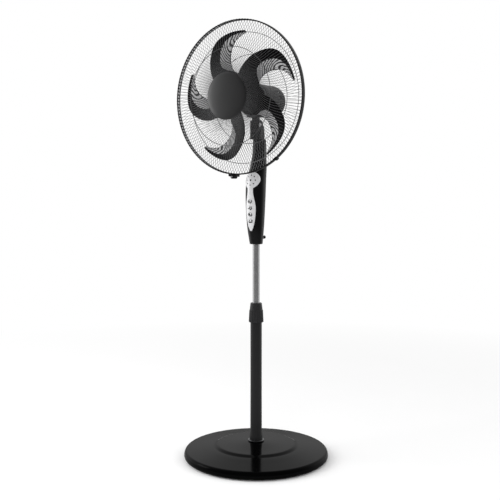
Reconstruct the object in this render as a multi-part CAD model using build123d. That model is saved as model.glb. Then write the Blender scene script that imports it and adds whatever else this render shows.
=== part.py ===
from build123d import *
import os
from math import cos, radians, sin

# Pedestal fan on a round weighted base.
# Frame: origin on the floor under the pole, +Z up, the fan blows towards -Y. Millimetres.

# ------------------------------------------------------------------ clearances
running_gap = 0.06         # radial gap of a shaft or tube that turns or slides in its seat
seat_gap = 0.05            # gap between pieces that are fixed to each other
easy_gap = 0.3             # gap round pieces that only need to clear

# ------------------------------------------------------------------ base
base_radius = 212.5
foot_height = 3.0          # rubber pads lift the tray off the floor
foot_radius = 11.0
foot_circle = 178.0
foot_count = 6
tray_thick = 2.5
rim_height = 27.0          # top of the rounded rim
rim_round = 9.0            # how far the rim curls inwards at its top
cover_wall = 2.5
step_radius = 121.0        # edge of the raised centre disc
step_low = 38.0            # height of the outer field at the step
step_rise = 5.5
step_run = 8.0             # radial width of the soft step
dome_height = 50.5         # cover height round the pole
weight_radius = 150.0
weight_bore = 30.0
weight_thick = 9.0
rib_count = 6
rib_thick = 2.4

# ------------------------------------------------------------------ pole and its foot
pole_radius = 16.2
pole_wall = 1.2
pole_foot_radius = 18.8    # the pole flares down to the base
pole_shin_radius = 16.8    # and has a slight taper above the flare
shin_length = 30.0
flare_length = 152.0
pole_top = 431.0
socket_wall = 3.2
flange_radius = 50.0
flange_thick = 4.0
flange_screw_circle = 38.0
flange_screw_count = 4
ring_radius = 24.2         # trim ring round the foot of the pole
ring_height = 5.0

# ------------------------------------------------------------------ height clamp
tube_radius = 9.5
tube_wall = 1.0
collet_spigot = 30.0       # length of the collet inside the pole
collet_head = 28.0
collet_cone = 7.0
collet_slots = 4
slot_width = 2.0
collar_radius = 20.5       # at the lower edge
collar_waist_radius = 18.8 # where the ribs end
collar_top_radius = 16.4
collar_skirt = 20.0        # collar below the pole's top edge
collar_lip = 2.6           # collar top above the collet's cone
collar_rib_count = 20
collar_rib = 0.9

# ------------------------------------------------------------------ sliding column
column_lift = 644.0        # underside of the control housing above the floor, as stored
tube_insertion = 142.0     # tube below the collar's top, as stored
tube_grip = 50.0           # tube inside the control housing
bush_length = 20.0
socket_radius = 15.0
socket_length = 53.0

# ------------------------------------------------------------------ control housing
housing_wall = 2.5
housing_foot = 19.0        # radius at the bottom
calf_rise = 53.0
calf_radius = 25.0
calf_lean = -3.0
belly_rise = 130.0         # height of the widest section above the bottom
belly_half_width = 29.4
belly_half_depth = 28.4
belly_lean = -3.5          # forward shift of that section
plate_rise = 188.0         # height of the round plate's centre above the bottom
plate_half = 28.9
plate_lean = 0.5
shoulder_rise = 230.0
shoulder_half = 24.2
shoulder_lean = 12.0
throat_rise = 268.0
throat_radius = 20.4
throat_lean = 16.3
housing_height = 307.0
housing_top_radius = 19.4
housing_top_lean = 17.0
roof_thick = 3.0
shelf_rise = 254.0         # shelf that carries the swing motor
shelf_thick = 3.0

# ------------------------------------------------------------------ panel, buttons, lights
panel_thick = 1.5
plate_radius = 24.5
lobe_half_width = 15.5
lobe_tip_rise = 39.0       # lowest point of the panel above the housing's bottom
lobe_wide_rise = 108.0
waist_half_width = 9.0
waist_rise = 159.0
button_width = 14.0
button_height = 10.0
button_pitch = 19.0
button_low_rise = 69.0     # centre of the lowest button
button_names = ["power", "speed", "timer", "swing"]
button_proud = 1.3
button_travel = 1.0
light_count = 8
light_circle = 14.5
light_radius = 1.5
board_front = -9.0         # front face of the circuit board
board_thick = 1.6
board_half_width = 11.0
board_top_half = 15.5
board_low_rise = 60.0
board_high_rise = 206.0
board_wide_rise = 168.0
switch_side = 6.0
switch_depth = 3.5
plunger_radius = 1.6
plunger_length = 1.0

# ------------------------------------------------------------------ fasteners and fittings
screw_radius = 1.5
screw_head = 3.0
screw_boss = 3.6
low_screw_rise = 80.0
low_screw_x = 17.5
high_screw_rise = 240.0
high_screw_x = 12.0
clamp_rise = 18.0          # thumbscrew that locks the housing on the tube
clamp_stem = 2.4
clamp_reach = 38.5
clamp_knob_radius = 4.8
clamp_knob_length = 6.0
gland_rise = 66.0
gland_radius = 4.6
gland_bore = 3.2
gland_proud = 9.0

# ------------------------------------------------------------------ swing joint and neck
swivel_y = 14.0            # upright axis of the swing
spigot_radius = 8.0
spigot_length = 18.0
swivel_gap = 0.2
swing_motor_radius = 13.0
swing_motor_height = 16.0
swing_shaft = 3.0
swing_shaft_length = 22.0
neck_half_width = 18.0
neck_half_depth = 14.0
neck_y = -2.0
neck_base_height = 20.0
neck_foot_radius = 16.5    # round foot over the swing axis
neck_heel_height = 6.0
ear_gap = 14.0
tilt_rise = 41.0           # tilt axis above the housing's top
ear_radius = 14.0
bolt_radius = 4.0
barrel_radius = 13.0
barrel_side_gap = 0.2

# ------------------------------------------------------------------ fan head
axis_rise = 72.5           # fan axis above the tilt axis
rim_forward = 91.0         # middle plane of the guard ahead of the tilt axis
motor_radius = 47.0
motor_wall = 2.5
motor_split = -115.0       # forward distances are from the guard's middle plane
motor_back = -197.0
motor_dome = 30.0
vent_count = 16
boss_radius = 34.0
stator_length = 42.0
rotor_radius = 21.6
air_gap = 0.4
coil_length = 10.0
shaft_radius = 4.0
bearing_length = 8.0
bearing_radius = 9.0
bracket_thick = 3.0
bracket_screw_circle = 20.0

# ------------------------------------------------------------------ guards
guard_radius = 217.0
band_width = 13.0
band_wall = 1.2
band_lip = 3.4
hoop_half = 1.6            # half the side of a hoop's wire
wire_half = 0.9            # half the side of a guard's wire
front_depth = 53.0
rear_depth = 73.0
front_hub_radius = 57.0
rear_hub_radius = 48.0
front_ring_radius = 137.0
rear_ring_inner = 127.0
rear_ring_outer = 185.0
wire_count = 60
wire_sweep = 49.0          # angle through which a front wire curls towards the cap
sweep_power = 2.7
sweep_end = 160.0          # radius beyond which a front wire runs straight out
crown_power = 2.3
cap_radius = 65.5
cap_rise = 4.6
cap_wall = 2.2
nut_radius = 46.0
nut_length = 8.0
nut_lugs = 12
clip_angle = -93.5
small_clip_angle = -53.5
clip_width = 26.0
clip_depth = 16.0
clip_drop = 12.0           # how far the large clip's boss stands out from the band
clip_boss = 5.6

# ------------------------------------------------------------------ fan blades
blade_count = 5
blade_tip_radius = 188.0
blade_tip_angle = 83.8     # where the upper blade's tip stands, from +X towards +Z
blade_plane = -10.0        # the blades' own middle plane, behind the guard's
blade_thick = 2.2
hub_radius = 38.0
hub_front = 27.0
hub_depth = 42.0
hub_wall = 3.0
root_radius = 35.0         # blades start inside the hub's wall
root_pitch = 34.0          # axial height of a blade at the hub
tip_pitch = 5.0            # and at its tip
root_forward = 13.0
spinner_radius = 15.0
spinner_length = 16.0

# ------------------------------------------------------------------ worked-out places
housing_top = column_lift + housing_height
collar_top = pole_top + collet_head + collet_cone + collar_lip
tube_low = collar_top - tube_insertion - 40.0
tube_high = column_lift + tube_grip
tray_top = foot_height + tray_thick
weight_top = tray_top + weight_thick
ledge_top = weight_top + 2.0
neck_low = housing_top + swivel_gap
tilt_z = housing_top + tilt_rise
axis_height = tilt_z + axis_rise
rim_y = neck_y - rim_forward
pole_bore = pole_radius - pole_wall

head = Location(Plane(origin=(0, rim_y, axis_height), x_dir=(1, 0, 0), z_dir=(0, -1, 0)))


# ================================================================== helpers
def turned(profile):
    """Solid of revolution about Z from a closed profile of (radius, height)."""
    return revolve(Plane.XZ * make_face(profile), axis=Axis.Z)


def lathe(*points):
    """Solid of revolution about Z from the corners of its profile."""
    return turned(Polyline(*points, close=True))


def disc(radius, low, high):
    return Pos(0, 0, low) * extrude(Circle(radius), high - low)


def ring(outer, inner, low, high):
    return Pos(0, 0, low) * extrude(Circle(outer) - Circle(inner), high - low)


def block(x_low, x_high, y_low, y_high, z_low, z_high):
    size = (x_high - x_low, y_high - y_low, z_high - z_low)
    return Pos(x_low, y_low, z_low) * Box(*size, align=(Align.MIN, Align.MIN, Align.MIN))


def rod_y(radius, x, z, y_low, y_high):
    """Cylinder along Y."""
    place = Location(Plane(origin=(x, y_low, z), x_dir=(1, 0, 0), z_dir=(0, 1, 0)))
    return place * extrude(Circle(radius), y_high - y_low)


def rod_x(radius, y, z, x_low, x_high):
    """Cylinder along X."""
    place = Location(Plane(origin=(x_low, y, z), x_dir=(0, 1, 0), z_dir=(1, 0, 0)))
    return place * extrude(Circle(radius), x_high - x_low)


def around(count, piece, start=0.0):
    """Copies of a piece about Z, as a list."""
    return [Rot(0, 0, start + 360.0 * step / count) * piece for step in range(count)]


def polar(radius, angle):
    return radius * cos(radians(angle)), radius * sin(radians(angle))


def bend(centre, reach, start, end, steps=4):
    """Points along a part of an ellipse, given its centre, half sizes and angles."""
    angles = [start + (end - start) * step / steps for step in range(steps + 1)]
    return [(centre[0] + reach[0] * cos(radians(angle)), centre[1] + reach[1] * sin(radians(angle)))
            for angle in angles]


# ================================================================== base
def cover_line(inset):
    """Upper line of the base cover from its step to the pole, lowered by inset."""
    soft = [(step_radius + step_run * (0.5 - share),
             step_low + step_rise * share ** 2 * (3 - 2 * share) - inset)
            for share in (0, 0.3, 0.7, 1)]
    half_way = (step_radius / 2, (step_low + step_rise + 2 * dome_height) / 3 - inset)
    return soft + [half_way, (flange_hole(), dome_height - inset)]


def flange_hole():
    """Radius of the hole in the cover round the pole socket."""
    return pole_foot_radius + seat_gap + socket_wall + easy_gap


def cover_solid(inset, bottom):
    """Solid under the cover's skin, moved inwards by inset."""
    middle = (foot_height + rim_height) / 2
    curl = bend((base_radius - rim_round - inset, middle),
                (rim_round, rim_height - inset - middle), -60, 90, steps=5)
    return lathe((flange_hole(), bottom), (curl[0][0], bottom), *curl, *cover_line(inset))


def base_cover():
    skin = cover_solid(0, foot_height + 1.0) - cover_solid(cover_wall, foot_height)
    hole = disc(flange_hole(), 0, dome_height + 1)
    inside = cover_solid(cover_wall / 2, foot_height)
    outer_end = base_radius - rim_round - cover_wall
    long_rib = block(flange_radius + 8, outer_end, -rib_thick / 2, rib_thick / 2,
                     weight_top + easy_gap, dome_height)
    end_rib = block(weight_radius + 5, outer_end, -rib_thick / 2, rib_thick / 2,
                    tray_top + easy_gap, weight_top + 2)
    rib = (long_rib + end_rib) & inside
    return skin - hole + around(rib_count, rib, start=30.0)


def base_tray():
    outer = base_radius - rim_round / 2 - cover_wall - easy_gap
    return ring(outer, weight_bore, foot_height, tray_top)


def flange_screw(clearance=0.0):
    """Screw through the flange into the weight, or its hole."""
    low = tray_top + 1.5
    shank = disc(2.5 + clearance, low - clearance, weight_top + flange_thick)
    if clearance:
        return Pos(flange_screw_circle, 0, 0) * shank
    head_disc = disc(4.5, weight_top + flange_thick, weight_top + flange_thick + 3.2)
    return Pos(flange_screw_circle, 0, 0) * (shank + head_disc)


def base_weight():
    plate = ring(weight_radius, weight_bore, tray_top, weight_top)
    return plate - around(flange_screw_count, flange_screw(seat_gap), start=45.0)


def base_feet():
    pad = lathe((0, 0), (foot_radius - 1.5, 0), (foot_radius, 1.5),
                (foot_radius, foot_height), (0, foot_height))
    return around(foot_count, Pos(foot_circle, 0, 0) * pad)


def pole_socket():
    bore = pole_foot_radius + seat_gap
    outer = bore + socket_wall
    plate = disc(flange_radius, weight_top, weight_top + flange_thick)
    sleeve = disc(outer, weight_top, dome_height)
    gusset_profile = Polyline((outer - 1, weight_top + flange_thick - 0.5),
                              (flange_radius - 3, weight_top + flange_thick - 0.5),
                              (outer - 1, dome_height - 12), close=True)
    gusset = extrude(Plane.XZ * make_face(gusset_profile), 1.5, both=True)
    body = plate + sleeve + around(flange_screw_count, gusset)
    body -= disc(bore, ledge_top, dome_height + 1)
    body -= disc(bore - 4, weight_top - 1, ledge_top + 1)
    return body - around(flange_screw_count, flange_screw(seat_gap), start=45.0)


def foot_ring():
    inner = pole_foot_radius + easy_gap
    top = dome_height + ring_height
    crown_line = bend((ring_radius - 1.8, top - 1.8), (1.8, 1.8), 0, 90, steps=2)
    return lathe((inner, dome_height), (ring_radius, dome_height), *crown_line, (inner, top))


def outer_pole():
    foot_top = dome_height + ring_height + 2
    outer = [(pole_foot_radius, ledge_top), (pole_foot_radius, foot_top),
             (pole_shin_radius, foot_top + shin_length),
             (pole_radius, foot_top + flare_length), (pole_radius, pole_top)]
    inner = [(radius - pole_wall, height) for radius, height in reversed(outer)]
    return lathe(*outer, *inner)


# ================================================================== height clamp
def pole_collet():
    bore = tube_radius + running_gap
    spigot = pole_bore - seat_gap
    top = pole_top + collet_head
    body = lathe((bore, pole_top - collet_spigot), (spigot, pole_top - collet_spigot),
                 (spigot, pole_top), (pole_radius - 0.5, pole_top), (pole_radius - 0.5, top),
                 (bore + 2.2, top + collet_cone), (bore, top + collet_cone))
    slot = block(0, pole_radius + 1, -slot_width / 2, slot_width / 2,
                 pole_top + 4, top + collet_cone + 1)
    return body - around(collet_slots, slot)


def collar_nut():
    low = pole_top - collar_skirt
    head_top = pole_top + collet_head
    cone_top = head_top + collet_cone
    waist = head_top - 12
    thread = pole_radius - 0.5 + easy_gap
    cone_bore = tube_radius + running_gap + 2.2 + easy_gap
    body = lathe((pole_radius + easy_gap, low), (collar_radius, low),
                 (collar_waist_radius, waist), (collar_top_radius, collar_top),
                 (tube_radius + 0.4, collar_top), (tube_radius + 0.4, cone_top + easy_gap),
                 (cone_bore, cone_top + easy_gap), (thread, head_top + easy_gap),
                 (thread, pole_top + easy_gap), (pole_radius + easy_gap, pole_top + easy_gap))
    reach = lathe((collar_waist_radius - 1, low), (collar_radius + collar_rib, low),
                  (collar_waist_radius + collar_rib, waist), (collar_waist_radius - 1, waist))
    rib = block(collar_waist_radius - 0.5, collar_radius + 2, -1.1, 1.1, low, waist) & reach
    return body + around(collar_rib_count, rib)


# ================================================================== sliding column
def inner_tube():
    return ring(tube_radius, tube_radius - tube_wall, tube_low, tube_high)


def tube_bush():
    outer = pole_bore - running_gap
    body = ring(outer, tube_radius + seat_gap, tube_low - 3, tube_low - 3 + bush_length)
    stop = ring(outer, tube_radius - tube_wall - 1, tube_low - 3, tube_low)
    return body + stop


def tube_socket():
    body = ring(socket_radius, tube_radius + seat_gap, column_lift, column_lift + socket_length)
    hole = rod_y(clamp_stem + running_gap, 0, column_lift + clamp_rise, 0, socket_radius + 5)
    return body - hole


# ------------------------------------------------------------------ housing shells
def housing_section(rise, centre, half_width, half_depth, growth):
    place = Location((0, centre, column_lift + rise))
    return place * Ellipse(half_width + growth, half_depth + growth)


def housing_stations():
    """Named sections from the bottom up: rise, centre, half width, half depth."""
    return [
        (0, 0, housing_foot, housing_foot),
        (calf_rise, calf_lean, calf_radius, calf_radius),
        (belly_rise, belly_lean, belly_half_width, belly_half_depth),
        (plate_rise, plate_lean, plate_half, plate_half),
        (shoulder_rise, shoulder_lean, shoulder_half, shoulder_half),
        (throat_rise, throat_lean, throat_radius, throat_radius),
        (housing_height, housing_top_lean, housing_top_radius, housing_top_radius),
    ]


def housing_between(index, share):
    """Section part of the way from one named section to the next, on a smooth line."""
    stations = housing_stations()
    low, high = stations[index], stations[index + 1]
    before, after = stations[max(index - 1, 0)], stations[min(index + 2, len(stations) - 1)]
    step = high[0] - low[0]
    values = [low[0] + step * share]
    for item in range(1, 4):
        slope_low = (high[item] - before[item]) / (high[0] - before[0]) * step
        slope_high = (after[item] - low[item]) / (after[0] - low[0]) * step
        values.append(low[item] * (2 * share ** 3 - 3 * share ** 2 + 1)
                      + slope_low * (share ** 3 - 2 * share ** 2 + share)
                      + high[item] * (3 * share ** 2 - 2 * share ** 3)
                      + slope_high * (share ** 3 - share ** 2))
    return values


def housing_solid(growth=0.0):
    """Solid inside the housing's outer skin, grown outwards by growth."""
    bands = len(housing_stations()) - 1
    sections = [housing_section(*housing_between(index, share), growth)
                for index in range(bands) for share in (0, 0.5)]
    sections.append(housing_section(*housing_stations()[-1], growth))
    return loft(sections, ruled=True)


def split_y(rise):
    """Y of the plane where the two shells meet, at a height above the housing's bottom."""
    return housing_top_lean * rise / housing_height


def front_half():
    """Everything ahead of the plane where the two shells meet."""
    reach = 80.0
    outline = Polyline((-reach, column_lift - 5), (split_y(-5), column_lift - 5),
                       (split_y(housing_height + 5), housing_top + 5),
                       (-reach, housing_top + 5), close=True)
    return extrude(Plane.YZ * make_face(outline), reach, both=True)


def screw_places():
    """X and rise of each screw that joins the shells."""
    low = [(side * low_screw_x, low_screw_rise) for side in (-1, 1)]
    high = [(side * high_screw_x, high_screw_rise) for side in (-1, 1)]
    return low + high


def housing_body():
    """Both shells in one, with floor, roof, shelf and screw bosses."""
    skin = housing_solid()
    room = housing_solid(-housing_wall) & disc(60, column_lift + roof_thick,
                                               housing_top - roof_thick)
    shelf = ring(50, 7.0, column_lift + shelf_rise, column_lift + shelf_rise + shelf_thick)
    shelf = Pos(0, swivel_y, 0) * shelf
    bosses = [rod_y(screw_boss, x, column_lift + rise, -60, 60) for x, rise in screw_places()]
    body = skin - (room - shelf - bosses)
    spigot_hole = Pos(0, swivel_y, 0) * disc(spigot_radius + running_gap,
                                             housing_top - 10, housing_top + 1)
    return body - disc(socket_radius + seat_gap, column_lift - 1,
                       column_lift + socket_length) - spigot_hole


def screw_y(rise):
    """Seat of a shell screw's head."""
    return split_y(rise) + 6.0


def housing_screw(x, rise, clearance=0.0):
    z = column_lift + rise
    seat = screw_y(rise)
    shank = rod_y(screw_radius + clearance, x, z, seat - 14, seat)
    head_rod = rod_y(screw_head + clearance * 2, x, z, seat, seat + (60 if clearance else 2.4))
    return shank + head_rod


def housing_screws():
    return [housing_screw(x, rise) for x, rise in screw_places()]


def keyhole():
    """Outline of the panel seen from the front: a round plate over a long lobe."""
    tip = (0, column_lift + lobe_tip_rise)
    wide = column_lift + lobe_wide_rise
    waist = column_lift + waist_rise
    plate = column_lift + plate_rise
    right = Spline(tip, (lobe_half_width, wide), (waist_half_width, waist), (waist_half_width, plate),
                   tangents=[(1, 0.25), (0, 1)])
    left = mirror(right, about=Plane.YZ)
    lobe = make_face(right + left + Line((-waist_half_width, plate), (waist_half_width, plate)))
    return lobe + Pos(0, plate) * Circle(plate_radius)


def forward_prism(outline, back=0.0):
    """Prism of a front-view outline, from the plane y = back towards the front."""
    place = Location(Plane(origin=(0, back, 0), x_dir=(1, 0, 0), z_dir=(0, -1, 0)))
    return place * extrude(outline, 70)


def button_rise(index):
    """Rise of a button's centre, the first one on top."""
    return button_low_rise + button_pitch * (len(button_names) - 1 - index)


def button_outline(index, margin=0.0):
    shape = SlotOverall(button_width + 2 * margin, button_height + 2 * margin)
    return Pos(0, column_lift + button_rise(index)) * shape


def light_places():
    """X and height of the lights round the receiver window."""
    centre = column_lift + plate_rise
    spots = [polar(light_circle, 360.0 * step / light_count) for step in range(light_count)]
    return [(x, centre + z) for x, z in spots]


def face_cuts():
    """Openings through the panel and the front shell for buttons and lights."""
    cuts = [forward_prism(button_outline(index, easy_gap)) for index in range(len(button_names))]
    cuts += [rod_y(light_radius + seat_gap, x, z, -70, 0) for x, z in light_places()]
    cuts.append(rod_y(2 * light_radius + seat_gap, 0, column_lift + plate_rise, -70, 0))
    return cuts


def board_posts():
    """Posts of the front shell that the circuit board is screwed to."""
    posts = []
    for rise, x in ((board_low_rise + 6, 0), (board_high_rise - 5, 0)):
        posts.append(rod_y(2.6, x, column_lift + rise, -60, board_front - seat_gap))
    return posts


def control_front(body):
    inside = housing_solid(-housing_wall / 2)
    shell = body & front_half()
    shell += [post & inside for post in board_posts()]
    cuts = face_cuts() + [housing_screw(x, rise, seat_gap) for x, rise in screw_places()]
    return shell - cuts


def control_rear(body):
    shell = body - front_half()
    z = column_lift + clamp_rise
    cuts = [housing_screw(x, rise, seat_gap) for x, rise in screw_places()]
    cuts.append(rod_y(clamp_stem + easy_gap, 0, z, 0, 60))
    cuts.append(rod_y(gland_radius + seat_gap, 0, column_lift + gland_rise, 5, 60))
    return shell - cuts


def control_panel():
    plate = housing_solid(panel_thick) - housing_solid()
    return (plate & forward_prism(keyhole())) - face_cuts()


def button(index):
    back = board_front - switch_depth - plunger_length - button_travel - 0.2
    return forward_prism(button_outline(index), back) & housing_solid(panel_thick + button_proud)


def indicator_pipes():
    skin = housing_solid(panel_thick + 0.3)
    back = board_front - seat_gap
    return [rod_y(light_radius, x, z, -70, back) & skin for x, z in light_places()]


def receiver_window():
    back = board_front - seat_gap
    skin = housing_solid(panel_thick + 0.5)
    return rod_y(2 * light_radius, 0, column_lift + plate_rise, -70, back) & skin


def control_board():
    back = board_front + board_thick
    low = block(-board_half_width, board_half_width, board_front, back,
                column_lift + board_low_rise, column_lift + board_wide_rise + 1)
    high = block(-board_top_half, board_top_half, board_front, back,
                 column_lift + board_wide_rise, column_lift + board_high_rise)
    return low + high


def board_switches():
    """One push switch behind each button."""
    pieces = []
    for index in range(len(button_names)):
        z = column_lift + button_rise(index)
        half = switch_side / 2
        face = board_front - switch_depth
        body = block(-half, half, face, board_front, z - half, z + half)
        pieces.append(body + rod_y(plunger_radius, 0, z, face - plunger_length, face))
    return pieces


def swing_motor():
    low = column_lift + shelf_rise + shelf_thick
    top = low + swing_motor_height
    can = disc(swing_motor_radius, low, top)
    shaft = disc(swing_shaft, top, top + swing_shaft_length)
    return Pos(0, swivel_y, 0) * (can + shaft)


def cord_gland():
    z = column_lift + gland_rise
    inner_face = 15.0
    outer_face = belly_half_depth + belly_lean + gland_proud
    collar = rod_y(gland_radius + 2, 0, z, outer_face - gland_proud - 0.6, outer_face - gland_proud + 2)
    body = rod_y(gland_radius, 0, z, inner_face, outer_face) + collar
    skin = housing_solid()
    return body - rod_y(gland_bore, 0, z, 0, 80) - (skin & collar)


# ------------------------------------------------------------------ thumbscrew
def clamp_screw():
    z = column_lift + clamp_rise
    return rod_y(clamp_stem, 0, z, tube_radius + 0.1, clamp_reach + 4)


def clamp_knob():
    z = column_lift + clamp_rise
    body = rod_y(clamp_knob_radius, 0, z, clamp_reach, clamp_reach + clamp_knob_length)
    grooves = []
    for step in range(12):
        x, up = polar(clamp_knob_radius + 0.5, 30.0 * step)
        grooves.append(rod_y(0.8, x, z + up, clamp_reach - 1, clamp_reach + clamp_knob_length + 1))
    return body - grooves - rod_y(clamp_stem + 0.02, 0, z, clamp_reach - 1, clamp_reach + 4.02)


# ================================================================== swing joint and neck
def neck_housing():
    """Fork that leans forward from a round foot over the swing axis."""
    top = tilt_z + ear_radius
    heel = swivel_y + neck_foot_radius
    link = Pos(0, (neck_y + swivel_y) / 2) * Rectangle(2 * neck_foot_radius, swivel_y - neck_y)
    outline = (Pos(0, neck_y) * Ellipse(neck_half_width, neck_half_depth)
               + Pos(0, swivel_y) * Circle(neck_foot_radius) + link)
    body = Pos(0, 0, neck_low) * extrude(outline, top - neck_low)
    slope = Polyline((neck_y - ear_radius, neck_low), (heel, neck_low),
                     (heel, neck_low + neck_heel_height), (neck_y + ear_radius, tilt_z),
                     (neck_y - ear_radius, tilt_z), close=True)
    side = extrude(Plane.YZ * (make_face(slope) + Pos(neck_y, tilt_z) * Circle(ear_radius)),
                   60, both=True)
    gap = block(-ear_gap / 2, ear_gap / 2, neck_y - 60, neck_y + 60,
                neck_low + neck_base_height, top + 1)
    spigot = Pos(0, swivel_y, 0) * disc(spigot_radius, neck_low - spigot_length, neck_low + 1)
    shaft_hole = Pos(0, swivel_y, 0) * disc(swing_shaft + running_gap, neck_low - spigot_length - 1,
                                            neck_low + 3)
    bolt_hole = rod_x(bolt_radius + seat_gap, neck_y, tilt_z, -60, 60)
    head_sink = rod_x(8.2, neck_y, tilt_z, neck_half_width - 7, 60)
    nut_sink = rod_x(8.2, neck_y, tilt_z, -60, -neck_half_width + 7)
    return (body & side) - gap + spigot - shaft_hole - bolt_hole - head_sink - nut_sink


def swivel_ring():
    """Retaining ring under the housing's roof, clipped on the spigot."""
    top = housing_top - roof_thick - swivel_gap / 2
    return Pos(0, swivel_y, 0) * ring(spigot_radius + 4, spigot_radius + seat_gap, top - 2, top)


def hexagon(radius, low, high):
    """Hexagonal prism along X on the tilt axis."""
    place = Location(Plane(origin=(low, neck_y, tilt_z), x_dir=(0, 1, 0), z_dir=(1, 0, 0)))
    return place * extrude(RegularPolygon(radius, 6), high - low)


def tilt_bolt():
    seat = neck_half_width - 7
    return rod_x(bolt_radius, neck_y, tilt_z, -seat - 6, seat) + hexagon(7.5, seat, seat + 5)


def tilt_nut():
    seat = neck_half_width - 7
    bore = rod_x(bolt_radius + seat_gap, neck_y, tilt_z, -seat - 10, 0)
    return hexagon(7.5, -seat - 5.5, -seat) - bore


# ================================================================== fan head
def head_y(forward):
    """Y of a plane at a forward distance from the guard's middle plane."""
    return rim_y - forward


def tilt_block():
    """Barrel on the tilt axis with a neck and a saddle under the motor."""
    half = ear_gap / 2 - barrel_side_gap
    barrel = rod_x(barrel_radius, neck_y, tilt_z, -half, half)
    saddle_z = axis_height - motor_radius
    stem = block(-half, half, neck_y - 11, neck_y + 11, tilt_z, saddle_z + 6)
    saddle = block(-22, 22, neck_y - 15, neck_y + 15, saddle_z - 3, saddle_z + 6)
    motor = rod_y(motor_radius + seat_gap, 0, axis_height, neck_y - 60, neck_y + 60)
    bore = rod_x(bolt_radius + running_gap, neck_y, tilt_z, -60, 60)
    return barrel + stem + saddle - motor - bore


def motor_front():
    """Front shell with the boss that carries the rear guard and the front bearing."""
    face = -rear_depth - wire_half
    inner_face = face - motor_wall
    rim = motor_radius - 6
    bore = bearing_radius + seat_gap
    body = lathe((bore, face + 14), (boss_radius, face + 14), (boss_radius, face), (rim, face),
                 (motor_radius, face - 8), (motor_radius, motor_split),
                 (motor_radius - motor_wall, motor_split), (motor_radius - motor_wall, face - 9),
                 (rim - 1, inner_face), (boss_radius - motor_wall, inner_face),
                 (boss_radius - motor_wall, face + 11.5), (bore + 3, face + 11.5),
                 (bore + 3, face + 1), (bore - 3, face + 1), (bore - 3, face + 3), (bore, face + 3))
    return head * body


def motor_rear():
    """Rear shell with a vented dome and the rear bearing's seat."""
    dome_start = motor_back + motor_dome
    wall = motor_wall
    flat = motor_radius * 0.55

    def cup(inset, split):
        dome = bend((flat, dome_start), (motor_radius - inset - flat, motor_dome - inset), 0, -90)
        return lathe((0, split), (motor_radius - inset, split), *dome, (0, motor_back + inset))

    body = cup(0, motor_split) - cup(wall, motor_split + 1)
    post = ring(4.0, 0.5, motor_back + wall / 2, bracket_front() - bracket_thick - seat_gap)
    body += around(3, Pos(bracket_screw_circle, 0, 0) * post, start=90.0)
    slot = block(28, motor_radius, -1.6, 1.6, motor_back - 1, motor_back + motor_dome * 0.6)
    side_slot = block(motor_radius - 5, motor_radius + 1, -2, 2, dome_start + 6, motor_split - 20)
    body -= around(vent_count, slot) + around(vent_count, side_slot, start=180.0 / vent_count)
    return head * (body - motor_screw_set(seat_gap))


def bracket_front():
    """Forward face of the bracket that carries the rear bearing."""
    return stator_front() - stator_length - coil_length - 2.0


def motor_bracket():
    """End bracket behind the coils, with the rear bearing's seat and air holes."""
    front = bracket_front()
    bore = bearing_radius + seat_gap
    outer = motor_radius - motor_wall - seat_gap
    end = front - bearing_length - 3.0
    plate = ring(outer, bore, front - bracket_thick, front)
    seat = ring(bore + 3, bore, end, front) + ring(bore + 1, bore - 3, end, end + 2)
    hole = Pos(32, 0, 0) * disc(6.0, front - bracket_thick - 1, front + 1)
    body = plate + seat - around(6, hole) - motor_screw_set(seat_gap)
    return head * body


def motor_screw_set(clearance=0.0):
    """Long screws from the rear shell into the bracket, or their holes."""
    shank = disc(screw_radius + clearance, motor_back - 1, bracket_front() + clearance * 20)
    head_disc = disc(screw_head, motor_back - 2, motor_back)
    screw = shank if clearance else shank + head_disc
    return around(3, Pos(bracket_screw_circle, 0, 0) * screw, start=90.0)


def stator_front():
    """Forward face of the stator."""
    return motor_split + stator_length / 2


def motor_stator():
    front = stator_front()
    outer = motor_radius - motor_wall - seat_gap
    core = ring(outer, rotor_radius + air_gap, front - stator_length, front)
    slots = around(12, Pos(rotor_radius + 3.2, 0, front - stator_length) * extrude(
        Rectangle(6.0, 3.0), stator_length))
    return head * (core - slots)


def motor_coils():
    front = stator_front()
    inner = rotor_radius + 3
    outer = motor_radius - motor_wall - 7
    ahead = ring(outer, inner, front + seat_gap, front + coil_length)
    behind = ring(outer, inner, front - stator_length - coil_length, front - stator_length - seat_gap)
    return [head * ahead, head * behind]


def motor_rotor():
    front = stator_front()
    return head * ring(rotor_radius, shaft_radius + seat_gap, front - stator_length - 1, front + 1)


def front_bearing_low():
    return -rear_depth - wire_half + 3


def motor_bearings():
    low = front_bearing_low()
    ahead = ring(bearing_radius, shaft_radius + running_gap, low + seat_gap, low + bearing_length)
    rear_low = bracket_front() - bearing_length - 1.0 + seat_gap
    behind = ring(bearing_radius, shaft_radius + running_gap, rear_low, rear_low + bearing_length)
    return [head * ahead, head * behind]


def motor_shaft():
    low = bracket_front() - bearing_length - 1.0
    body = disc(shaft_radius, low, hub_front + 10)
    return head * body


def motor_screws():
    return [head * piece for piece in motor_screw_set()]


# ------------------------------------------------------------------ guards
def crown(radius, hub, depth):
    """Height of a guard's surface above the middle plane at a radius."""
    rim = guard_radius - band_wall - hoop_half * 2
    share = max(0.0, min(1.0, (radius - hub) / (rim - hub)))
    return hoop_plane() + (depth - hoop_plane()) * (1 - share ** crown_power)


def hoop_plane():
    """Distance of each guard's hoop from the middle plane."""
    return band_width / 2 - band_wall - hoop_half


def hoop_radius():
    return guard_radius - band_wall - hoop_half


def sweep_angle(radius):
    """Angle of a front wire, ahead of its straight outer end."""
    share = max(0.0, (sweep_end - radius) / (sweep_end - front_hub_radius))
    return wire_sweep * share ** sweep_power


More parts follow.
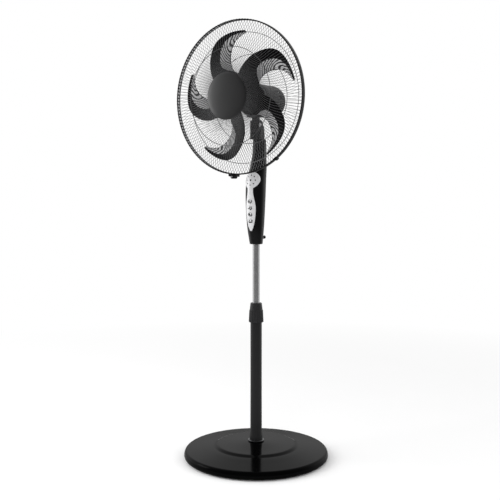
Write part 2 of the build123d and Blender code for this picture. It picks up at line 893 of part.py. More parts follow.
def front_wire_points():
    inner = front_hub_radius + 0.3
    outer = hoop_radius()
    radii = [inner, inner + 14, inner + 32, inner + 60, sweep_end + 6, outer - 14, outer]
    points = []
    for radius in radii:
        x, y = polar(radius, sweep_angle(radius))
        points.append((x, y, crown(radius, front_hub_radius, front_depth)))
    return points


def rear_wire_points():
    inner = rear_hub_radius
    outer = hoop_radius()
    radii = [inner, inner + 60, inner + 115, outer - 14, outer]
    return [(radius, 0, -crown(radius, rear_hub_radius, rear_depth)) for radius in radii]


def square_wire(points, half):
    """Wire of square section along a bent line."""
    path = Polyline(*points)
    section = Plane(origin=path @ 0, z_dir=path % 0) * Rectangle(2 * half, 2 * half)
    return sweep(section, path=path, transition=Transition.RIGHT)


def hoop(radius, forward, half):
    """Welded hoop of square wire with one flat between neighbouring wires."""
    flat_ring = RegularPolygon(radius + half, wire_count) - RegularPolygon(radius - half, wire_count)
    return Pos(0, 0, forward - half) * extrude(flat_ring, 2 * half)


def front_guard():
    wires = around(wire_count, square_wire(front_wire_points(), wire_half))
    behind = 2 * wire_half - 0.3
    rings = [hoop(radius, crown(radius, front_hub_radius, front_depth) - behind, wire_half)
             for radius in (front_hub_radius, front_ring_radius)]
    rings.append(hoop(hoop_radius(), hoop_plane(), hoop_half))
    return head * (Part() + wires + rings)


def rear_guard():
    wires = around(wire_count, square_wire(rear_wire_points(), wire_half))
    behind = 2 * wire_half - 0.3
    rings = [hoop(radius, behind - crown(radius, rear_hub_radius, rear_depth), wire_half)
             for radius in (rear_ring_inner, rear_ring_outer)]
    hub = ring(rear_hub_radius + 1, boss_radius + seat_gap, -rear_depth - wire_half,
               -rear_depth + wire_half)
    rings += [hub, hoop(hoop_radius(), -hoop_plane(), hoop_half)]
    return head * (Part() + wires + rings)


def guard_band():
    half = band_width / 2
    inner = guard_radius - band_wall
    lip = guard_radius - band_lip
    body = lathe((guard_radius, -half), (guard_radius, half), (lip, half), (lip, half - band_wall + 0.1),
                 (inner, half - band_wall + 0.1), (inner, -half + band_wall - 0.1),
                 (lip, -half + band_wall - 0.1), (lip, -half))
    return head * body


def front_cap():
    """Dished cap over the guard's centre, with a ring that snaps inside the hub hoop."""
    seat = front_depth + wire_half + 0.1
    edge = seat + cap_wall * 0.6
    crest = seat + cap_rise
    inner = front_hub_radius - wire_half - seat_gap - 0.1
    dome = bend((0, edge), (cap_radius, crest - edge), 0, 90, steps=6)
    shell = lathe(*dome, (0, crest - cap_wall), (inner - cap_wall, seat + 0.6),
                  (inner - cap_wall, seat - 5), (inner, seat - 5), (inner, seat),
                  (cap_radius - 0.8, seat))
    return head * shell


def guard_nut():
    """Ring nut that clamps the rear guard on the motor's boss."""
    low = -rear_depth + wire_half
    body = ring(nut_radius - 2, boss_radius + seat_gap, low, low + nut_length)
    lug = block(nut_radius - 3, nut_radius, -2.5, 2.5, low, low + nut_length)
    return head * (body + around(nut_lugs, lug))


def clip_block(width, depth, drop):
    """Clip that straddles the guard's band, drawn at angle zero."""
    body = block(guard_radius - band_lip + 0.2, guard_radius + drop, -width / 2, width / 2,
                 -depth / 2, depth / 2)
    body = fillet(body.edges().filter_by(Axis.Z).group_by(Axis.X)[-1], drop * 0.45)
    room = disc(guard_radius + seat_gap, -band_width / 2 - seat_gap, band_width / 2 + seat_gap)
    return body - room


def guard_clips():
    """Large clip with a round boss for its screw, and a small plain one."""
    half = clip_depth / 2 + 1.5
    large = clip_block(clip_width, 2 * half, clip_drop * 0.5)
    boss = Pos(screw_place(), 0, 0) * (disc(clip_boss, -half, half) - disc(screw_radius + seat_gap,
                                                                          -half, half))
    hole = Pos(screw_place(), 0, 0) * disc(clip_boss - 1, -half, half)
    room = disc(guard_radius + seat_gap, -band_width / 2 - seat_gap, band_width / 2 + seat_gap)
    large = (large - hole) + (boss - room)
    small = clip_block(9.0, clip_depth, 2.4)
    return [head * Rot(0, 0, clip_angle) * large, head * Rot(0, 0, small_clip_angle) * small]


def screw_place():
    """Radius at which the large clip's screw stands."""
    return guard_radius + clip_drop - clip_boss


def rim_screw():
    """Screw through the large clip that locks the two guards together."""
    half = clip_depth / 2 + 1.5
    low = disc(screw_radius, -half - 4, half) + disc(screw_head, half, half + 2.2)
    screw = Pos(screw_place(), 0, 0) * low
    return head * Rot(0, 0, clip_angle) * screw


def rim_nut():
    half = clip_depth / 2 + 1.5
    body = extrude(RegularPolygon(3.2, 6) - Circle(screw_radius + 0.02), 2.4)
    nut = Pos(screw_place(), 0, -half - 2.4) * body
    return head * Rot(0, 0, clip_angle) * nut


# ------------------------------------------------------------------ fan blades
def blade_edge(share, angles, radii):
    """Point of a smooth edge line given by its angles and radii at even steps."""
    steps = len(angles) - 1
    place = min(share * steps, steps - 1e-9)
    low = int(place)
    part = place - low
    before, after = max(low - 1, 0), min(low + 2, steps)

    def blend(values):
        a, b, c, d = values[before], values[low], values[low + 1], values[after]
        return 0.5 * (2 * b + (c - a) * part + (2 * a - 5 * b + 4 * c - d) * part ** 2
                      + (3 * b - a - 3 * c + d) * part ** 3)
    return blend(angles), blend(radii)


def blade_grid(rows=13, columns=6):
    """Grid of points over one sickle blade, from the hub out to the tip."""
    span = blade_tip_radius - root_radius
    convex_angle = [74.0, 62.5, 46.5, 29.5, 0.5]
    convex_radius = [root_radius + span * share for share in (0, 0.38, 0.72, 0.95, 1.0)]
    hollow_angle = [4.0, 13.0, 22.5, 23.5, 14.0, -1.0]
    hollow_radius = [root_radius + span * share for share in (0, 0.22, 0.30, 0.50, 0.785, 0.965)]
    grid = []
    for row in range(rows):
        share = row / (rows - 1)
        pitch = root_pitch + (tip_pitch - root_pitch) * share ** 0.8
        middle = blade_plane + root_forward * (1 - share) ** 1.3
        convex = blade_edge(share, convex_angle, convex_radius)
        hollow = blade_edge(share, hollow_angle, hollow_radius)
        line = []
        for column in range(columns):
            across = column / (columns - 1)
            angle = convex[0] + (hollow[0] - convex[0]) * across
            radius = convex[1] + (hollow[1] - convex[1]) * across
            x, y = polar(radius, angle)
            camber = 0.12 * pitch * (1 - (2 * across - 1) ** 2)
            line.append(Vector(x, y, middle + pitch * (0.5 - across) + camber))
        grid.append(line)
    return grid


def blade():
    sheet = Face.make_surface_from_array_of_points(blade_grid())
    return Solid.thicken(sheet, blade_thick, normal_override=Vector(0, 0, -1))


def fan_blades():
    """Hub and five swept blades, moulded in one."""
    front = hub_front
    back = front - hub_depth
    bore = shaft_radius + seat_gap
    hub = lathe((bore, back + 8), (bore + 5, back + 8), (bore + 5, front - hub_wall),
                (hub_radius - hub_wall, front - hub_wall - 3), (hub_radius - hub_wall, back),
                (hub_radius, back), (hub_radius, front - 6), (hub_radius - 6, front), (bore, front))
    trim = disc(hub_radius - hub_wall / 2, back - 20, front + 20)
    swept = [Rot(0, 0, blade_tip_angle) * (Part() + blade() - trim)]
    swept = around(blade_count, swept[0])
    return head * (hub + swept)


def spinner():
    """Domed nut that holds the blades on the shaft."""
    low = hub_front
    bore = shaft_radius + seat_gap
    top = low + spinner_length
    dome = bend((0, low + 6), (spinner_radius, top - low - 6), 0, 90)
    body = lathe((bore, low), (spinner_radius, low), *dome, (0, low + 10.5), (bore, low + 10.5))
    groove = block(spinner_radius - 1.2, spinner_radius + 1, -1, 1, low - 1, low + 8)
    return head * (body - around(10, groove))


# ================================================================== output
def solids_of(shape):
    """Flat list of the solids in a shape or in a list of shapes."""
    if isinstance(shape, (list, tuple)):
        return [solid for piece in shape for solid in solids_of(piece)]
    return list(shape.solids())


def save(name, shape):
    """Write one node, a single solid or a group, to its STEP file."""
    solids = solids_of(shape)
    whole = solids[0] if len(solids) == 1 else Compound(children=solids)
    whole.label = name
    export_step(whole, f"parts/{name}.step")


def main():
    os.makedirs("parts", exist_ok=True)
    housing = housing_body()
    nodes = {
        "base_cover": base_cover(),
        "base_tray": base_tray(),
        "base_weight": base_weight(),
        "base_feet": base_feet(),
        "pole_socket": pole_socket(),
        "flange_screws": around(flange_screw_count, flange_screw(), start=45.0),
        "foot_ring": foot_ring(),
        "outer_pole": outer_pole(),
        "pole_collet": pole_collet(),
        "collar_nut": collar_nut(),
        "inner_tube": inner_tube(),
        "tube_bush": tube_bush(),
        "tube_socket": tube_socket(),
        "control_front": control_front(housing),
        "control_rear": control_rear(housing),
        "housing_screws": housing_screws(),
        "control_panel": control_panel(),
        "indicator_pipes": indicator_pipes(),
        "receiver_window": receiver_window(),
        "control_board": control_board(),
        "board_switches": board_switches(),
        "swing_motor": swing_motor(),
        "cord_gland": cord_gland(),
        "clamp_screw": clamp_screw(),
        "clamp_knob": clamp_knob(),
        "neck_housing": neck_housing(),
        "swivel_ring": swivel_ring(),
        "tilt_bolt": tilt_bolt(),
        "tilt_nut": tilt_nut(),
        "tilt_block": tilt_block(),
        "motor_front": motor_front(),
        "motor_rear": motor_rear(),
        "motor_bracket": motor_bracket(),
        "motor_screws": motor_screws(),
        "motor_stator": motor_stator(),
        "motor_coils": motor_coils(),
        "motor_rotor": motor_rotor(),
        "motor_bearings": motor_bearings(),
        "motor_shaft": motor_shaft(),
        "rear_guard": rear_guard(),
        "guard_nut": guard_nut(),
        "front_guard": front_guard(),
        "guard_band": guard_band(),
        "front_cap": front_cap(),
        "guard_clips": guard_clips(),
        "rim_screw": rim_screw(),
        "rim_nut": rim_nut(),
        "fan_blades": fan_blades(),
        "spinner": spinner(),
    }
    for index, name in enumerate(button_names):
        nodes[f"button_{name}"] = button(index)
    for name, shape in nodes.items():
        save(name, shape)


if __name__ == "__main__":
    main()
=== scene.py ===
"""Looks of a pedestal fan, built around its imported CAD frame.

Every length is in metres, in the row frame: the floor is z = 0, the pole stands on the origin
and the fan blows towards -Y.
"""

import logging
import math
from dataclasses import dataclass, field
from enum import Enum
from typing import Callable, Iterable, Optional, Sequence, Union

import bmesh
import bpy
from mathutils import Matrix, Vector


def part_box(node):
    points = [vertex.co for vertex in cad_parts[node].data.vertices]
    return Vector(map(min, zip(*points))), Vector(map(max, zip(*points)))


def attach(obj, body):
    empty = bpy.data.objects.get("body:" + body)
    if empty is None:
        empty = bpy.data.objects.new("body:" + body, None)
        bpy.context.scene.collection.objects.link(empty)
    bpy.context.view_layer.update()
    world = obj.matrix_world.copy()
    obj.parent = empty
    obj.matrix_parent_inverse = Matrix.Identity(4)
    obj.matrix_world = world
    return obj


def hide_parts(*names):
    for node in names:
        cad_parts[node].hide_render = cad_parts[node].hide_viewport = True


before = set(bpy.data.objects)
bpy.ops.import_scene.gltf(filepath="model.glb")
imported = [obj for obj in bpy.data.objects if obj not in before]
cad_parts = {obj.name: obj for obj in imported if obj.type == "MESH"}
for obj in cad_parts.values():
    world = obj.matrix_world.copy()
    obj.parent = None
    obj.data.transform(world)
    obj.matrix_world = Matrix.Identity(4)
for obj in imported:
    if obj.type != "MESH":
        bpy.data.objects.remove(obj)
LOG = logging.getLogger("pedestal_fan")

Point = tuple[float, float, float]
Spot = tuple[float, float]
Face = tuple[int, ...]
Colour = tuple[float, float, float]
MILLIMETRE = 0.001
SHARP_ANGLE = math.radians(32)
SINK = 0.0001  # how far the middle of a rib lies under the surface that it stands on


# ---------------------------------------------------------------- node maths
class Socket:
    """One output socket, or a plain number, that can stand in an expression."""

    def __init__(self, graph: "Graph", source: Union[bpy.types.NodeSocket, float]) -> None:
        """Wraps a socket or a number of a graph."""
        self.graph = graph
        self.source = source

    def _math(self, operation: str, *others: "Value") -> "Socket":
        """Adds one Math node on this value and the others."""
        return self.graph.maths(operation, self, *others)

    def __add__(self, other: "Value") -> "Socket":
        """Sum."""
        return self._math("ADD", other)

    def __radd__(self, other: "Value") -> "Socket":
        """Sum, from the right."""
        return self.graph.maths("ADD", other, self)

    def __sub__(self, other: "Value") -> "Socket":
        """Difference."""
        return self._math("SUBTRACT", other)

    def __rsub__(self, other: "Value") -> "Socket":
        """Difference, from the right."""
        return self.graph.maths("SUBTRACT", other, self)

    def __mul__(self, other: "Value") -> "Socket":
        """Product."""
        return self._math("MULTIPLY", other)

    def __rmul__(self, other: "Value") -> "Socket":
        """Product, from the right."""
        return self.graph.maths("MULTIPLY", other, self)

    def __truediv__(self, other: "Value") -> "Socket":
        """Quotient."""
        return self._math("DIVIDE", other)

    def __pow__(self, other: "Value") -> "Socket":
        """Power."""
        return self._math("POWER", other)

    def sine(self) -> "Socket":
        """Sine of an angle in radians."""
        return self._math("SINE")

    def cosine(self) -> "Socket":
        """Cosine of an angle in radians."""
        return self._math("COSINE")

    def clamped(self, low: float = 0.0, high: float = 1.0) -> "Socket":
        """Value kept between two limits."""
        return self._math("MAXIMUM", low)._math("MINIMUM", high)


Value = Union[Socket, float]
Tint = Union[Colour, bpy.types.NodeSocket]


class Graph:
    """A node tree, with one method that makes any node in it."""

    def __init__(self, tree: bpy.types.NodeTree, prefix: str, maths_node: str) -> None:
        """Takes a tree.

        Args:
            tree: the tree to fill.
            prefix: what the type names of its own nodes start with.
            maths_node: type of its Math node, without the prefix or in full.
        """
        self.tree = tree
        self.prefix = prefix
        self.maths_node = maths_node

    def node(self, kind: str, settings: Optional[dict] = None,
             inputs: Optional[dict] = None) -> bpy.types.Node:
        """Makes a node.

        Args:
            kind: node type without the tree's prefix, or a full type name.
            settings: attributes of the node, set first.
            inputs: socket name or index to a value, a Socket or a node's socket.

        Returns:
            The new node.
        """
        full = kind.startswith(("Shader", "Geometry", "Function", "Node"))
        made = self.tree.nodes.new(kind if full else self.prefix + kind)
        for name, value in (settings or {}).items():
            setattr(made, name, value)
        for name, value in (inputs or {}).items():
            self.feed(made.inputs[name], value)
        return made

    def feed(self, target: bpy.types.NodeSocket, value: object) -> None:
        """Links or sets one input socket.

        Args:
            target: the input socket.
            value: a plain value, a Socket or a node's socket.
        """
        if isinstance(value, Socket):
            value = value.source
        if isinstance(value, bpy.types.NodeSocket):
            self.tree.links.new(value, target)
        else:
            target.default_value = value

    def maths(self, operation: str, *values: Value) -> Socket:
        """Math node on one to three values."""
        made = self.node(self.maths_node, {"operation": operation}, dict(enumerate(values)))
        return Socket(self, made.outputs[0])

    def value(self, output: bpy.types.NodeSocket) -> Socket:
        """Wraps an output socket for use in expressions."""
        return Socket(self, output)

    def tone(self, share: Union[Value, bpy.types.NodeSocket], low: Tint,
             high: Tint) -> bpy.types.NodeSocket:
        """Colour between two colours.

        Args:
            share: 0 for the first colour, 1 for the second.
            low: the first colour, plain or from a socket.
            high: the second one.

        Returns:
            The mixed colour.
        """
        first, second = ((*tint, 1.0) if isinstance(tint, tuple) else tint for tint in (low, high))
        return self.node("Mix", {"data_type": "RGBA"}, {0: share, 6: first, 7: second}).outputs[2]


def shader_graph(holder: Union[bpy.types.Material, bpy.types.World]) -> Graph:
    """Empties the node tree of a material or a world.

    Args:
        holder: the material or world.

    Returns:
        Its graph.
    """
    holder.use_nodes = True
    holder.node_tree.nodes.clear()
    return Graph(holder.node_tree, "ShaderNode", "Math")


# ---------------------------------------------------------------- finishes
class Grain(Enum):
    """How the fine relief of a finish runs."""

    EVEN = (1.0, 1.0, 1.0)
    UPRIGHT = (1.0, 1.0, 0.04)
    FORWARD = (1.0, 0.05, 1.0)


def scaled(colour: Colour, factor: float) -> Colour:
    """Colour made darker or lighter by a factor."""
    red, green, blue = colour
    return red * factor, green * factor, blue * factor


@dataclass(frozen=True)
class Finish:
    """A moulded, painted or metal surface with fine relief and slight unevenness.

    The depth of its relief is in millimetres.
    """

    name: str
    colour: Colour
    roughness: float
    metallic: float = 0.0
    specular: float = 0.5
    coat: float = 0.0
    coat_roughness: float = 0.06
    smoothest: float = 0.03
    grain_scale: float = 900.0
    grain_depth: float = 0.02
    grain_gloss: float = 0.1
    cloud_scale: float = 14.0
    cloud_detail: float = 3.0
    uneven: float = 0.12
    grain: Grain = Grain.EVEN

    def graph(self) -> tuple[bpy.types.Material, Graph, bpy.types.Node]:
        """Makes an empty material with its shader.

        Returns:
            The material, its graph and the shader node.
        """
        material = bpy.data.materials.new(self.name)
        graph = shader_graph(material)
        shader = graph.node("BsdfPrincipled", None, {
            "Metallic": self.metallic, "Specular IOR Level": self.specular,
            "Coat Weight": self.coat, "Coat Roughness": self.coat_roughness})
        graph.node("OutputMaterial", None, {"Surface": shader.outputs[0]})
        return material, graph, shader

    def own_tone(self, graph: Graph, share: Socket, low: float,
                 high: float) -> bpy.types.NodeSocket:
        """The finish's colour, scaled between two factors by a share."""
        return graph.tone(share, scaled(self.colour, low), scaled(self.colour, high))

    def places(self, graph: Graph) -> bpy.types.NodeSocket:
        """Object coordinates, stretched along the grain."""
        place = graph.node("TexCoord").outputs["Object"]
        return graph.node("Mapping", None, {"Vector": place, "Scale": self.grain.value}).outputs[0]

    def noise(self, graph: Graph, vector: bpy.types.NodeSocket, scale: float,
              detail: float = 2.0) -> Socket:
        """Noise between 0 and 1 over a vector."""
        made = graph.node("TexNoise", None, {"Vector": vector, "Scale": scale, "Detail": detail})
        return graph.value(made.outputs[0])

    def relief(self, graph: Graph, shader: bpy.types.Node, height: Socket, depth: float) -> None:
        """Feeds a height into the shader's normal, with its depth in millimetres."""
        bump = graph.node("Bump", None, {"Distance": depth * MILLIMETRE, "Height": height})
        graph.feed(shader.inputs["Normal"], bump.outputs[0])

    def base(self, graph: Graph, cloud: Socket) -> bpy.types.NodeSocket:
        """Base colour, darker and lighter in wide patches."""
        return self.own_tone(graph, cloud, 1 - self.uneven, 1 + self.uneven)

    def build(self) -> bpy.types.Material:
        """Makes the material.

        Returns:
            The material.
        """
        material, graph, shader = self.graph()
        place = self.places(graph)
        cloud = self.noise(graph, place, self.cloud_scale, self.cloud_detail)
        fine = self.noise(graph, place, self.grain_scale)
        graph.feed(shader.inputs["Base Color"], self.base(graph, cloud))
        wander = (cloud - 0.5) * self.uneven + (fine - 0.5) * self.grain_gloss
        graph.feed(shader.inputs["Roughness"],
                   (wander + self.roughness).clamped(self.smoothest, 1.0))
        self.relief(graph, shader, fine, self.grain_depth)
        return material


@dataclass(frozen=True)
class BladeFinish(Finish):
    """Smoke-dark blade with a crescent of fine moulded ribs that wander like contour lines,
    coloured with a painted sheen that is brightest on the ribs.

    The blade's attributes give the share across, from the leading edge, and along, from the hub.
    """

    cloud_scale: float = 9.0
    cloud_detail: float = 2.0
    cloud_gloss: float = 0.06
    darkest: float = 0.8
    lightest: float = 1.25
    # colour of the painted sheen on each blade's crescent
    crescent_sheen_colour: Colour = (0.48, 0.48, 0.485)
    panel_start: float = 0.43
    panel_end: float = 0.965
    panel_middle: float = 0.65
    panel_taper: float = 2.75
    panel_taper_power: float = 6.0
    panel_sharpness: float = 60.0
    panel_gloss: float = 0.14
    rib_count: float = 7.0
    rib_across: float = 0.4
    rib_along: float = 2.9
    rib_swirl: float = 0.55
    rib_shade: float = 0.05
    rib_depth: float = 0.5
    rib_contrast: float = 2.0
    rib_lift: float = 0.2
    swirl_across: float = 1.3
    swirl_along: float = 3.2
    swirl_scale: float = 1.4
    swirl_detail: float = 0.5

    def panel(self, across: Socket, along: Socket) -> Socket:
        """1 on the crescent of painted sheen and 0 off it.

        Args:
            across: share across the blade.
            along: share along the blade.

        Returns:
            The mask.
        """
        ends = (along - self.panel_middle) * self.panel_taper
        border = self.panel_start + ends ** self.panel_taper_power * 0.5
        return (((across - border) * self.panel_sharpness).clamped()
                * ((self.panel_end - across) * self.panel_sharpness).clamped())

    def ribs(self, graph: Graph, across: Socket, along: Socket) -> Socket:
        """1 between the ribs and 0 on them.

        Args:
            graph: the material's graph.
            across: share across the blade.
            along: share along the blade.

        Returns:
            The pattern of ribs.
        """
        flow = graph.node("CombineXYZ", None, {0: across * self.swirl_across,
                                               1: along * self.swirl_along})
        swirl = self.noise(graph, flow.outputs[0], self.swirl_scale, self.swirl_detail)
        level = across * self.rib_across + along * self.rib_along + swirl * self.rib_swirl
        wave = (level * (self.rib_count * math.tau)).sine()
        return (wave * self.rib_contrast + self.rib_lift).clamped()

    def build(self) -> bpy.types.Material:
        """Makes the material.

        Returns:
            The material.
        """
        material, graph, shader = self.graph()
        across, along = (
            graph.value(graph.node("Attribute", {"attribute_name": name}).outputs["Fac"])
            for name in ("across", "along"))
        panel = self.panel(across, along)
        rib = self.ribs(graph, across, along)
        # the painted sheen: brightest on the ribs, darker between them
        crescent_sheen = graph.tone(rib, self.crescent_sheen_colour, scaled(self.crescent_sheen_colour, self.rib_shade))
        cloud = self.noise(graph, graph.node("TexCoord").outputs["Object"], self.cloud_scale,
                           self.cloud_detail)
        dark = self.own_tone(graph, cloud, self.darkest, self.lightest)
        graph.feed(shader.inputs["Base Color"], graph.tone(panel, dark, crescent_sheen))
        graph.feed(shader.inputs["Roughness"], self.roughness + panel * self.panel_gloss
                   + (cloud - 0.5) * self.cloud_gloss)
        self.relief(graph, shader, panel * (0.5 - rib * 0.5), self.rib_depth)
        return material


@dataclass(frozen=True)
class BandFinish(Finish):
    """Dark band whose inner wall carries a painted reflection, marked by a point attribute."""

    # colour of the painted reflection on the band's inner wall
    wall_sheen_colour: Colour = (0.78, 0.78, 0.79)
    grain_gloss: float = 0.0

    def base(self, graph: Graph, cloud: Socket) -> bpy.types.NodeSocket:
        """Base colour, with the painted reflection where the attribute says so."""
        wall_sheen = graph.node("Attribute", {"attribute_name": "wall_sheen"}).outputs["Fac"]
        return graph.tone(wall_sheen, super().base(graph, cloud), self.wall_sheen_colour)


@dataclass(frozen=True)
class MetalFinish(Finish):
    """Metal with fine drawing or turning marks; the long upright streaks of the tube stand in
    partly for a painted reflection.
    """

    cloud_scale: float = 25.0
    cloud_detail: float = 2.0
    streak_detail: float = 4.0
    streak_share: float = 0.6
    streak_gloss: float = 0.16

    def build(self) -> bpy.types.Material:
        """Makes the material.

        Returns:
            The material.
        """
        material, graph, shader = self.graph()
        place = self.places(graph)
        streak = self.noise(graph, place, self.grain_scale, self.streak_detail)
        cloud = self.noise(graph, place, self.cloud_scale, self.cloud_detail)
        share = streak * self.streak_share + cloud * (1 - self.streak_share)
        graph.feed(shader.inputs["Base Color"],
                   self.own_tone(graph, share, 1 - self.uneven, 1.0))
        graph.feed(shader.inputs["Roughness"],
                   (streak - 0.5) * self.streak_gloss + self.roughness)
        self.relief(graph, shader, streak, self.grain_depth)
        return material


class Finishes:
    """All the finishes of the fan, each made once when it is first asked for."""

    KINDS: dict[str, Finish] = {kind.name: kind for kind in (
        Finish("gloss_black", (0.002, 0.002, 0.0022), 0.14, specular=0.3, grain_scale=260.0,
               grain_depth=0.006, uneven=0.1),
        Finish("base_black", (0.0008, 0.0008, 0.0009), 0.12, specular=0.052, grain_scale=220.0,
               grain_depth=0.006, uneven=0.1),
        Finish("satin_black", (0.0028, 0.0028, 0.003), 0.36, specular=0.13, grain_depth=0.02),
        Finish("matte_black", (0.0045, 0.0045, 0.0045), 0.6, specular=0.1, grain_scale=1500.0,
               grain_depth=0.05),
        Finish("pole_grey", (0.0125, 0.0125, 0.013), 0.34, specular=0.3, grain_scale=1400.0,
               grain_depth=0.02),
        Finish("collar_grey", (0.016, 0.016, 0.017), 0.45, specular=0.4, grain_scale=1500.0,
               grain_depth=0.05),
        Finish("cap_grey", (0.007, 0.007, 0.0075), 0.32, specular=1.0, grain_scale=1700.0,
               grain_depth=0.03, uneven=0.06),
        # the band's finish paints a reflection on its inner wall
        BandFinish("band_black_and_sheen", (0.0045, 0.0045, 0.005), 0.36, specular=0.2),
        Finish("wire_enamel", (0.045, 0.045, 0.047), 0.3, specular=0.9, grain_scale=500.0,
               grain_depth=0.01),
        # the rear guard's wires: the front ones' enamel, painted lighter to stand in for the light
        # they catch
        Finish("wire_enamel_painted_light", (0.17, 0.17, 0.175), 0.3, specular=0.5, grain_scale=500.0,
               grain_depth=0.01),
        # blades with a painted sheen on a crescent of each
        BladeFinish("blade_smoke_and_sheen", (0.0020, 0.0020, 0.0022), 0.24, specular=0.15),
        Finish("silver_lacquer", (0.70, 0.70, 0.71), 0.34, metallic=0.25, grain_scale=2600.0,
               grain_depth=0.01, uneven=0.05),
        # ink of the buttons' signs and of the painted shadow curves beside them
        Finish("icon_ink_and_shade", (0.010, 0.010, 0.010), 0.5, specular=0.2, uneven=0.1),
        Finish("smoked_clear", (0.008, 0.008, 0.009), 0.2, specular=0.2, coat=0.1,
               grain_scale=400.0, grain_depth=0.004),
        Finish("rubber", (0.016, 0.016, 0.016), 0.8, specular=0.25, grain_scale=1800.0,
               grain_depth=0.08),
        Finish("board_green", (0.02, 0.10, 0.045), 0.5, uneven=0.2),
        Finish("cast_iron", (0.06, 0.06, 0.06), 0.75, metallic=0.6, grain_scale=420.0,
               grain_depth=0.25, uneven=0.25),
        # drawn tube: its upright streaks are partly drawing marks and partly painted reflection of
        # the studio
        MetalFinish("tube_steel_and_sheen", (0.66, 0.66, 0.665), 0.28, metallic=0.9, grain_scale=900.0,
                    grain_depth=0.01, uneven=0.3, grain=Grain.UPRIGHT, cloud_scale=110.0),
        MetalFinish("smoked_chrome", (0.11, 0.11, 0.115), 0.16, metallic=1.0, grain_scale=300.0,
                    grain_depth=0.002, uneven=0.1),
        MetalFinish("zinc", (0.42, 0.42, 0.43), 0.4, metallic=0.9, grain_scale=700.0,
                    grain_depth=0.02, uneven=0.2),
        MetalFinish("ground_steel", (0.46, 0.46, 0.47), 0.25, metallic=1.0, grain_scale=800.0,
                    grain_depth=0.01, grain=Grain.FORWARD),
        MetalFinish("die_cast", (0.38, 0.38, 0.39), 0.55, metallic=0.8, grain_scale=500.0,
                    grain_depth=0.05, uneven=0.2),
        MetalFinish("copper", (0.62, 0.24, 0.10), 0.35, metallic=1.0, grain_scale=900.0,
                    grain_depth=0.05, uneven=0.3),
        MetalFinish("sintered_bronze", (0.32, 0.22, 0.10), 0.5, metallic=1.0, grain_scale=900.0,
                    grain_depth=0.05, uneven=0.3),
    )}
    _made: dict[str, bpy.types.Material] = {}

    @classmethod
    def get(cls, name: str) -> bpy.types.Material:
        """The material of a finish.

        Args:
            name: the finish's name.

        Returns:
            The material, made when it is first asked for.
        """
        if name not in cls._made:
            cls._made[name] = cls.KINDS[name].build()
        return cls._made[name]


# ---------------------------------------------------------------- lines and shares
def eased(share: float) -> float:
    """Share from 0 to 1 that starts and ends level."""
    return share * share * (3 - 2 * share)


def bunched(step: int, count: int) -> float:
    """Share from 0 to 1 that steps finely near both ends."""
    return 0.5 - 0.5 * math.cos(math.pi * step / count)


def spline(values: Sequence[float], share: float) -> float:
    """Smooth line through even steps of values.

    Args:
        values: what the line passes through.
        share: place along it, from 0 to 1.

    Returns:
        The value there.
    """
    steps = len(values) - 1
    place = min(max(share, 0.0) * steps, steps - 1e-9)
    low = int(place)
    part = place - low
    a, b = values[max(low - 1, 0)], values[low]
    c, d = values[low + 1], values[min(low + 2, steps)]
    return 0.5 * (2 * b + (c - a) * part + (2 * a - 5 * b + 4 * c - d) * part ** 2
                  + (3 * b - a - 3 * c + d) * part ** 3)


def arc(centre: Spot, reach: Spot, start: float, end: float, steps: int) -> list[Spot]:
    """Points along an arc of an ellipse.

    Args:
        centre: middle of the ellipse.
        reach: half its width and half its height, the latter negative to go the other way.
        start: first angle in degrees.
        end: last angle in degrees.
        steps: count of even steps.

    Returns:
        The points, with both ends.
    """
    angles = [math.radians(start + (end - start) * step / steps) for step in range(steps + 1)]
    return [(centre[0] + reach[0] * math.cos(angle), centre[1] + reach[1] * math.sin(angle))
            for angle in angles]


def ring_line(inner: float, outer: float, low: float, high: float) -> list[Spot]:
    """Profile of a plain ring between two radii and two heights."""
    return [(inner, low), (outer, low), (outer, high), (inner, high)]


def rounded(corners: Sequence[Spot], radius: float, steps: int = 4) -> list[Spot]:
    """Closed profile with each corner turned into a small curve.

    Args:
        corners: the profile's corners.
        radius: how far from a corner its curve starts, where the sides are long enough.
        steps: count of steps round a corner.

    Returns:
        The rounded profile.
    """
    longest = 0.45  # share of a side that a curve may take
    result = []
    for index, corner in enumerate(corners):
        here = Vector(corner)
        before, after = Vector(corners[index - 1]), Vector(corners[(index + 1) % len(corners)])
        reach = min(radius, (before - here).length * longest, (after - here).length * longest)
        start = here + (before - here).normalized() * reach
        end = here + (after - here).normalized() * reach
        for step in range(steps + 1):
            share = step / steps
            spot = start.lerp(here, share).lerp(here.lerp(end, share), share)
            result.append((spot.x, spot.y))
    return result


# ---------------------------------------------------------------- mesh helpers
def outward(mesh: bpy.types.Mesh, merge: float = 1e-6) -> None:
    """Merges doubles and points every face outwards.

    Args:
        mesh: the mesh to mend.
        merge: distance under which points are one.
    """
    work = bmesh.new()
    work.from_mesh(mesh)
    bmesh.ops.remove_doubles(work, verts=work.verts, dist=merge)
    bmesh.ops.dissolve_degenerate(work, edges=work.edges, dist=merge)
    bmesh.ops.recalc_face_normals(work, faces=work.faces)
    work.to_mesh(mesh)
    work.free()


def soften_shading(mesh: bpy.types.Mesh, angle: float = SHARP_ANGLE) -> None:
    """Smooth shading with sharp edges above an angle."""
    mesh.shade_smooth()
    mesh.set_sharp_from_angle(angle=angle)


def new_object(name: str, mesh: bpy.types.Mesh) -> bpy.types.Object:
    """Puts a mesh in the scene as an object at the origin.

    Args:
        name: the object's name.
        mesh: its mesh.

    Returns:
        The new object.
    """
    made = bpy.data.objects.new(name, mesh)
    bpy.context.scene.collection.objects.link(made)
    return made


